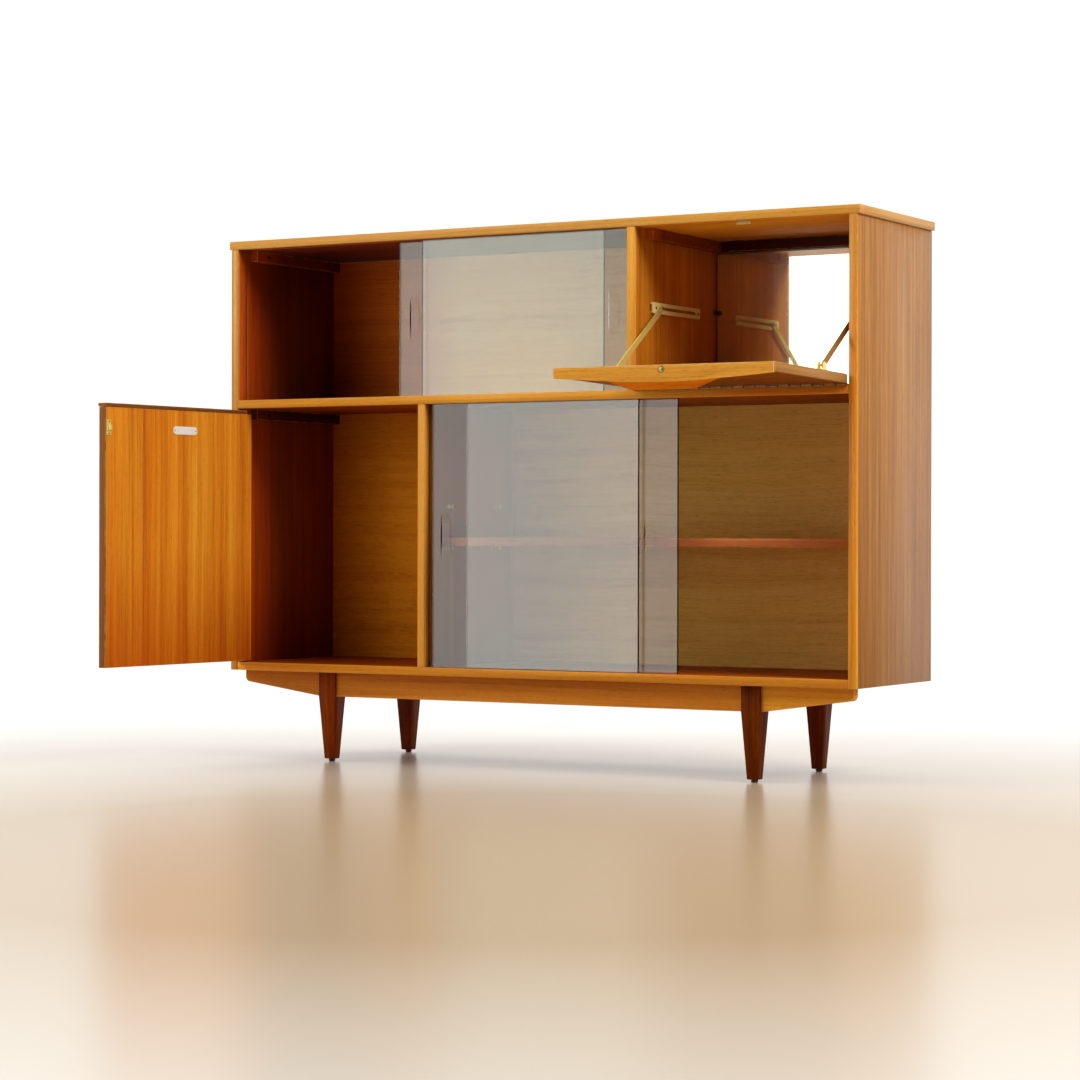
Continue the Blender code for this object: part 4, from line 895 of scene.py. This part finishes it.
for name in paneNames:  # only the round floor of each finger pull is smooth
    ease(name, 0.0, easing["paneAngle"])

# the moving leaf's edge reaches down to the other leaf's knuckles
leafEdge = {"reach": 0.0006, "lowest": 0.6386, "highest": 0.6392, "mostEdges": 6}
ease("flap_hinge_moving_leaf", 0.0)
bpy.ops.object.mode_set(mode="EDIT")
bpy.ops.mesh.select_mode(type="VERT")
mesh = bmesh.from_edit_mesh(bpy.context.object.data)
for corner in mesh.verts:
    onEdge = leafEdge["lowest"] < corner.co.z < leafEdge["highest"]
    corner.select_set(onEdge and len(corner.link_edges) <= leafEdge["mostEdges"])
bmesh.update_edit_mesh(bpy.context.object.data)
bpy.ops.transform.translate(value=(0.0, 0.0, -leafEdge["reach"]))
bpy.ops.object.mode_set(mode="OBJECT")
print("edges eased")

# Screws, rivets and pins

slottedScrew = {
    "radius": 0.0024, "rim": 0.0003, "crown": 0.0004, "slot": 0.0007, "slotDepth": 0.0004, "sides": 24,
}
smallScrew = dict(slottedScrew, radius=0.0017, slot=0.0005)
battenScrew = dict(slottedScrew, radius=0.0034, slot=0.0009)
domedRivet = {"radius": 0.0021, "rim": 0.0004, "crown": 0.0007, "slot": 0.0, "slotDepth": 0.0, "sides": 24}
panelPin = {"radius": 0.0013, "rim": 0.0002, "crown": 0.0003, "slot": 0.0, "slotDepth": 0.0, "sides": 10}
headSteps = ((0.3, 0.7), (0.35, 0.3))  # how far the top is drawn in, and its share of the crown
headSmooth = 40.0


def modelHead(name, settings):
    # a low drum, its top drawn in twice to a crown, and a slot sunk across it
    bpy.ops.object.select_all(action="DESELECT")
    radius = settings["radius"]
    rim = settings["rim"]
    bpy.ops.mesh.primitive_cylinder_add(
        vertices=settings["sides"], radius=radius, depth=rim, location=(0.0, 0.0, rim / 2)
    )
    head = bpy.context.object
    head.name = name
    bpy.ops.object.transform_apply(location=True)
    bpy.ops.object.mode_set(mode="EDIT")
    bpy.ops.mesh.select_mode(type="FACE")
    pickFaces(lambda face: face.normal.z > 0.9)
    for inward, rise in headSteps:
        bpy.ops.mesh.inset(thickness=radius * inward)
        bpy.ops.transform.translate(value=(0.0, 0.0, settings["crown"] * rise))
    half = settings["slot"] / 2
    if half:
        for side in (-half, half):
            bpy.ops.mesh.select_all(action="SELECT")
            bpy.ops.mesh.bisect(plane_co=(0.0, side, 0.0), plane_no=(0.0, 1.0, 0.0))
        pickFaces(lambda face: face.normal.z > 0.5 and abs(face.calc_center_median().y) < half)
        bpy.ops.mesh.extrude_region_move(
            TRANSFORM_OT_translate={"value": (0.0, 0.0, -settings["slotDepth"])}
        )
    bpy.ops.mesh.select_all(action="SELECT")
    bpy.ops.mesh.normals_make_consistent(inside=False)
    if bmesh.from_edit_mesh(head.data).calc_volume(signed=True) < 0.0:
        bpy.ops.mesh.flip_normals()  # wide, flat heads come out inside out
    bpy.ops.object.mode_set(mode="OBJECT")
    bpy.ops.object.shade_smooth_by_angle(angle=math.radians(headSmooth))
    return head


def setHead(template, name, place, facing, body, material, spin=0.0):
    startOn(template)
    bpy.ops.object.duplicate()
    piece = bpy.context.object
    piece.name = name
    turn = Vector((0.0, 0.0, 1.0)).rotation_difference(Vector(facing)) @ Quaternion((0.0, 0.0, 1.0), spin)
    piece.matrix_world = Matrix.Translation(place) @ turn.to_matrix().to_4x4()
    bpy.ops.object.transform_apply(location=True, rotation=True, scale=True)
    giveFinish(piece, material)
    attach(piece, body)


screw = modelHead("slottedScrew", slottedScrew)
littleScrew = modelHead("smallScrew", smallScrew)
stoutScrew = modelHead("battenScrew", battenScrew)
rivet = modelHead("domedRivet", domedRivet)
pin = modelHead("panelPin", panelPin)

# battens: two sunk screws each, in the face that looks into the case
battenScrews = {"front": 0.0377, "back": 0.0213, "sunk": 0.0070}
battenWays = {"batten_top_left": 1, "batten_middle_left": 1, "batten_top_divider": 1, "batten_top_right": -1}
for name, out in battenWays.items():
    low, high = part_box(name)
    face = (high.x if out > 0 else low.x) - out * battenScrews["sunk"]
    for count, y in enumerate((low.y + battenScrews["front"], high.y - battenScrews["back"])):
        place = (face, y, (low.z + high.z) / 2)
        title = f"{name}_screw_{count + 1}"
        # near-black heads, standing in for the shade of the hole they sit in: painted shade
        setHead(stoutScrew, title, place, (out, 0, 0), "case", brassDarkAndHoleShade, 0.6 + count)

# stays: a screw at each end of a channel, a rivet where the arm meets the slider
channelScrews = {"front": 0.013, "back": 0.0075}
for side, out in (("left", 1), ("right", -1)):
    low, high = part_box("stay_channel_" + side)
    face = high.x if out > 0 else low.x
    for count, y in enumerate((low.y + channelScrews["front"], high.y - channelScrews["back"])):
        place = (face, y, (low.z + high.z) / 2)
        title = f"stay_channel_{side}_screw_{count + 1}"
        setHead(screw, title, place, (out, 0, 0), "case", brassDarkAndHoleShade, 0.4 + count)
    slider = sum(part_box("stay_slider_" + side), Vector()) / 2
    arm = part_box("stay_arm_" + side)
    place = (arm[1].x if out > 0 else arm[0].x, slider.y, slider.z)
    # near-black rivet head, standing in for the shade of a recess: painted shade
    setHead(rivet, f"stay_arm_{side}_rivet", place, (out, 0, 0), "stay_arm_" + side, brassDarkAndHoleShade)

# small screws in the strikes, the door catch, the brackets' feet and the hinge leaf on the shelf
littleScrews = {
    "sunk": 0.0004,
    "strikeInset": 0.004,
    "strikeFront": 0.005,
    "strikePlate": 0.0008,
    "catchInset": 0.0027,
    "catchPlace": (-0.5899, -0.3262),  # across and deep, on the open door
    "bracketPlaces": {"left": 0.2333, "right": 0.5842},
    "bracketFoot": (-0.0514, 0.6573),  # deep and up, on the open flap
    "bracketSpread": 0.007,
    "hingeCount": 6,
    "hingeStart": 0.67,  # in steps, from the leaf's end
    "hingeStep": 0.0601,
    "hingePlace": (0.0345, 0.6377),
    "spin": 0.7,  # from one slot to the next
}
doorFacing = Vector((0.9973, -0.0732, 0.0))
doorAlong = Vector((-0.0732, -0.9973, 0.0))
flapFacing = Vector((0.0, 0.0205, 0.9998))
upward = Vector((0.0, 0.0, 1.0))
spots = []
low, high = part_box("flap_strike")
for x in (low.x + littleScrews["strikeInset"], high.x - littleScrews["strikeInset"]):
    place = Vector((x, low.y + littleScrews["strikeFront"], high.z - littleScrews["strikePlate"]))
    spots.append(("flap_strike", place, Vector((0.0, 0.0, -1.0))))
low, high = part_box("door_strike")
for z in (low.z + littleScrews["strikeInset"], high.z - littleScrews["strikeInset"]):
    spots.append(("door_strike", Vector((low.x, (low.y + high.y) / 2, z)), Vector((-1.0, 0.0, 0.0))))
low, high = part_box("door_catch")
for z in (low.z + littleScrews["catchInset"], high.z - littleScrews["catchInset"]):
    spots.append(("door_catch", Vector((*littleScrews["catchPlace"], z)), doorFacing))
footY, footZ = littleScrews["bracketFoot"]
for side, x in littleScrews["bracketPlaces"].items():
    for step in (-littleScrews["bracketSpread"], littleScrews["bracketSpread"]):
        place = Vector((x, footY + step, footZ - step * flapFacing.y))
        spots.append(("stay_bracket_" + side, place, flapFacing))
low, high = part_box("flap_hinge_fixed_leaf")
for step in range(littleScrews["hingeCount"]):
    x = low.x + littleScrews["hingeStep"] * (step + littleScrews["hingeStart"])
    spots.append(("flap_hinge_fixed_leaf", Vector((x, *littleScrews["hingePlace"])), upward))
for count, (name, place, facing) in enumerate(spots):
    place = place - facing * littleScrews["sunk"]
    title = f"{name}_screw_{count + 1}"
    spin = littleScrews["spin"] * count
    setHead(littleScrew, title, place, facing, bodyOf[name], brassCatch, spin)

# the bare plate on the door: a pin near each end
platePins = {"place": (-0.57675, -0.13495, 0.5775), "proud": 0.0006, "spread": 0.027}
plateFace = Vector(platePins["place"]) + doorFacing * platePins["proud"]
for letter, way in (("a", -1), ("b", 1)):
    place = plateFace + doorAlong * way * platePins["spread"]
    setHead(pin, "door_plate_pin_" + letter, place, doorFacing, bodyOf["door_plate"], steel)

# back panel: pins along its edges, the shelf and the bottom
backPins = {"inset": 0.004, "end": 0.02, "side": 0.05, "foot": 0.007, "step": 0.105}
low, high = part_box("back_panel")
pinLines = []
for x in (low.x + backPins["inset"], high.x - backPins["inset"]):
    foot, head = low.z + backPins["end"], high.z - backPins["end"]
    pinLines.append((Vector((x, high.y, foot)), Vector((x, high.y, head))))
for level in (low.z + backPins["foot"], sum(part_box("middle_shelf"), Vector()).z / 2):
    left, right = low.x + backPins["side"], high.x - backPins["side"]
    pinLines.append((Vector((left, high.y, level)), Vector((right, high.y, level))))
count = 0
for start, end in pinLines:
    gaps = round((end - start).length / backPins["step"])
    for step in range(gaps + 1):
        count += 1
        setHead(pin, f"back_pin_{count:02d}", start.lerp(end, step / gaps), (0, 1, 0), "case", steel)

for template in (screw, littleScrew, stoutScrew, rivet, pin):
    bpy.data.objects.remove(template)
print("screws and pins set")

# Floor, room light and camera

paleFloor = {
    "near": (0.46, 0.34, 0.21),
    "far": (0.93, 0.92, 0.89),
    "tone": (0.8, 2.6),  # metres over which the tone pales
    "fade": (2.6, 3.5),  # metres over which the floor runs out into the white room
    "centre": (0.6, -1.0, 0.0),
    "side": 60.0,
    "roughness": 0.26,
}


def layFloor(settings):
    bpy.ops.object.select_all(action="DESELECT")
    bpy.ops.mesh.primitive_plane_add(size=settings["side"])
    floor = bpy.context.object
    floor.name = "paleFloor"
    material, tree, shader, here = startMaterial("paleFloor")
    away = vecCalc(tree, "SUBTRACT", here, settings["centre"])
    reach = put(tree, "VectorMath", {0: away}, operation="LENGTH").outputs["Value"]
    pale = remap(tree, reach, *settings["tone"])
    paint = blendColours(tree, pale, colour(settings["near"]), colour(settings["far"]))
    tree.links.new(paint, shader.inputs["Base Color"])
    tree.links.new(remap(tree, reach, *settings["fade"], 1.0, 0.0), shader.inputs["Alpha"])
    shader.inputs["Roughness"].default_value = settings["roughness"]
    giveFinish(floor, material)
    print("floor laid")


roomLight = {
    "tint": (1.0, 1.0, 0.99),
    "white": 1.05,
    "dim": 0.05,  # the unlit side of the room, behind the camera
    "dimWay": (0.50, -0.85, -0.10),
    "dimSpread": (0.30, 0.85),
}


def lightRoom(settings):
    world = bpy.data.worlds.new("whiteRoom")
    bpy.context.scene.world = world
    world.use_nodes = True
    tree = world.node_tree
    way = put(tree, "TexCoord").outputs["Generated"]
    facing = put(tree, "VectorMath", {0: way, 1: settings["dimWay"]}, operation="DOT_PRODUCT")
    level = remap(tree, facing.outputs["Value"], *settings["dimSpread"], settings["white"], settings["dim"])
    seen = put(tree, "LightPath").outputs["Is Camera Ray"]
    level = calc(tree, "MAXIMUM", level, calc(tree, "MULTIPLY", seen, settings["white"]))
    tree.links.new(level, tree.nodes["Background"].inputs["Strength"])
    tree.nodes["Background"].inputs["Color"].default_value = colour(settings["tint"])
    print("room lit")


softboxes = {
    "windowHigh": {
        "place": (-1.75, -3.0, 1.295), "aim": (0.0, 0.05, 0.75), "size": (1.9, 1.0),
        "radiance": 1.95, "tint": (0.88, 0.95, 0.82),
    },
    "windowLow": {
        "place": (-1.75, -3.0, 0.298), "aim": (0.0, 0.05, 0.4), "size": (1.9, 1.0),
        "radiance": 1.4, "tint": (0.96, 1.0, 0.93),
    },
    "skyLeft": {
        "place": (-2.6, -2.6, 2.9), "aim": (0.1, 0.2, 0.5), "size": (1.8, 1.2),
        "radiance": 9.0, "tint": (1.0, 0.98, 0.94),
    },
    "windowRight": {
        "place": (3.2, -0.75, 2.6), "aim": (-0.4, -0.1, 0.5), "size": (1.2, 1.2),
        "radiance": 20.0, "tint": (1.0, 0.98, 0.93),
    },
}


def hangSoftbox(name, settings):
    data = bpy.data.lights.new(name, "AREA")
    data.shape = "RECTANGLE"
    data.size, data.size_y = settings["size"]
    data.energy = settings["radiance"] * math.pi * data.size * data.size_y
    data.color = settings["tint"]
    lamp = bpy.data.objects.new(name, data)
    bpy.context.scene.collection.objects.link(lamp)
    way = Vector(settings["aim"]) - Vector(settings["place"])
    turn = way.to_track_quat("-Z", "Y").to_matrix().to_4x4()
    lamp.matrix_world = Matrix.Translation(settings["place"]) @ turn
    lamp.visible_camera = False
    print("softbox hung:", name)


photoCamera = {
    "place": (2.4449, -4.1040, 0.4000),  # metres, in the cabinet's frame
    "yaw": 30.2117,  # degrees, to the left of straight at the front
    "pitch": -0.1167,
    "roll": 0.1257,
    "focalPixels": 2861.94,
    "imagePixels": 1080,
    "sensor": 36.0,
}


def addCamera(settings):
    data = bpy.data.cameras.new("photoCamera")
    data.sensor_width = settings["sensor"]
    data.lens = settings["sensor"] * settings["focalPixels"] / settings["imagePixels"]
    camera = bpy.data.objects.new("photoCamera", data)
    bpy.context.scene.collection.objects.link(camera)
    turn = Matrix.Rotation(math.radians(settings["yaw"]), 4, "Z")
    tilt = Matrix.Rotation(math.radians(90 + settings["pitch"]), 4, "X")
    roll = Matrix.Rotation(math.radians(settings["roll"]), 4, "Z")
    camera.matrix_world = Matrix.Translation(settings["place"]) @ turn @ tilt @ roll
    bpy.context.scene.camera = camera
    print("camera placed")


layFloor(paleFloor)
lightRoom(roomLight)
for name, settings in softboxes.items():
    hangSoftbox(name, settings)
addCamera(photoCamera)
bpy.context.scene.view_settings.view_transform = "Standard"
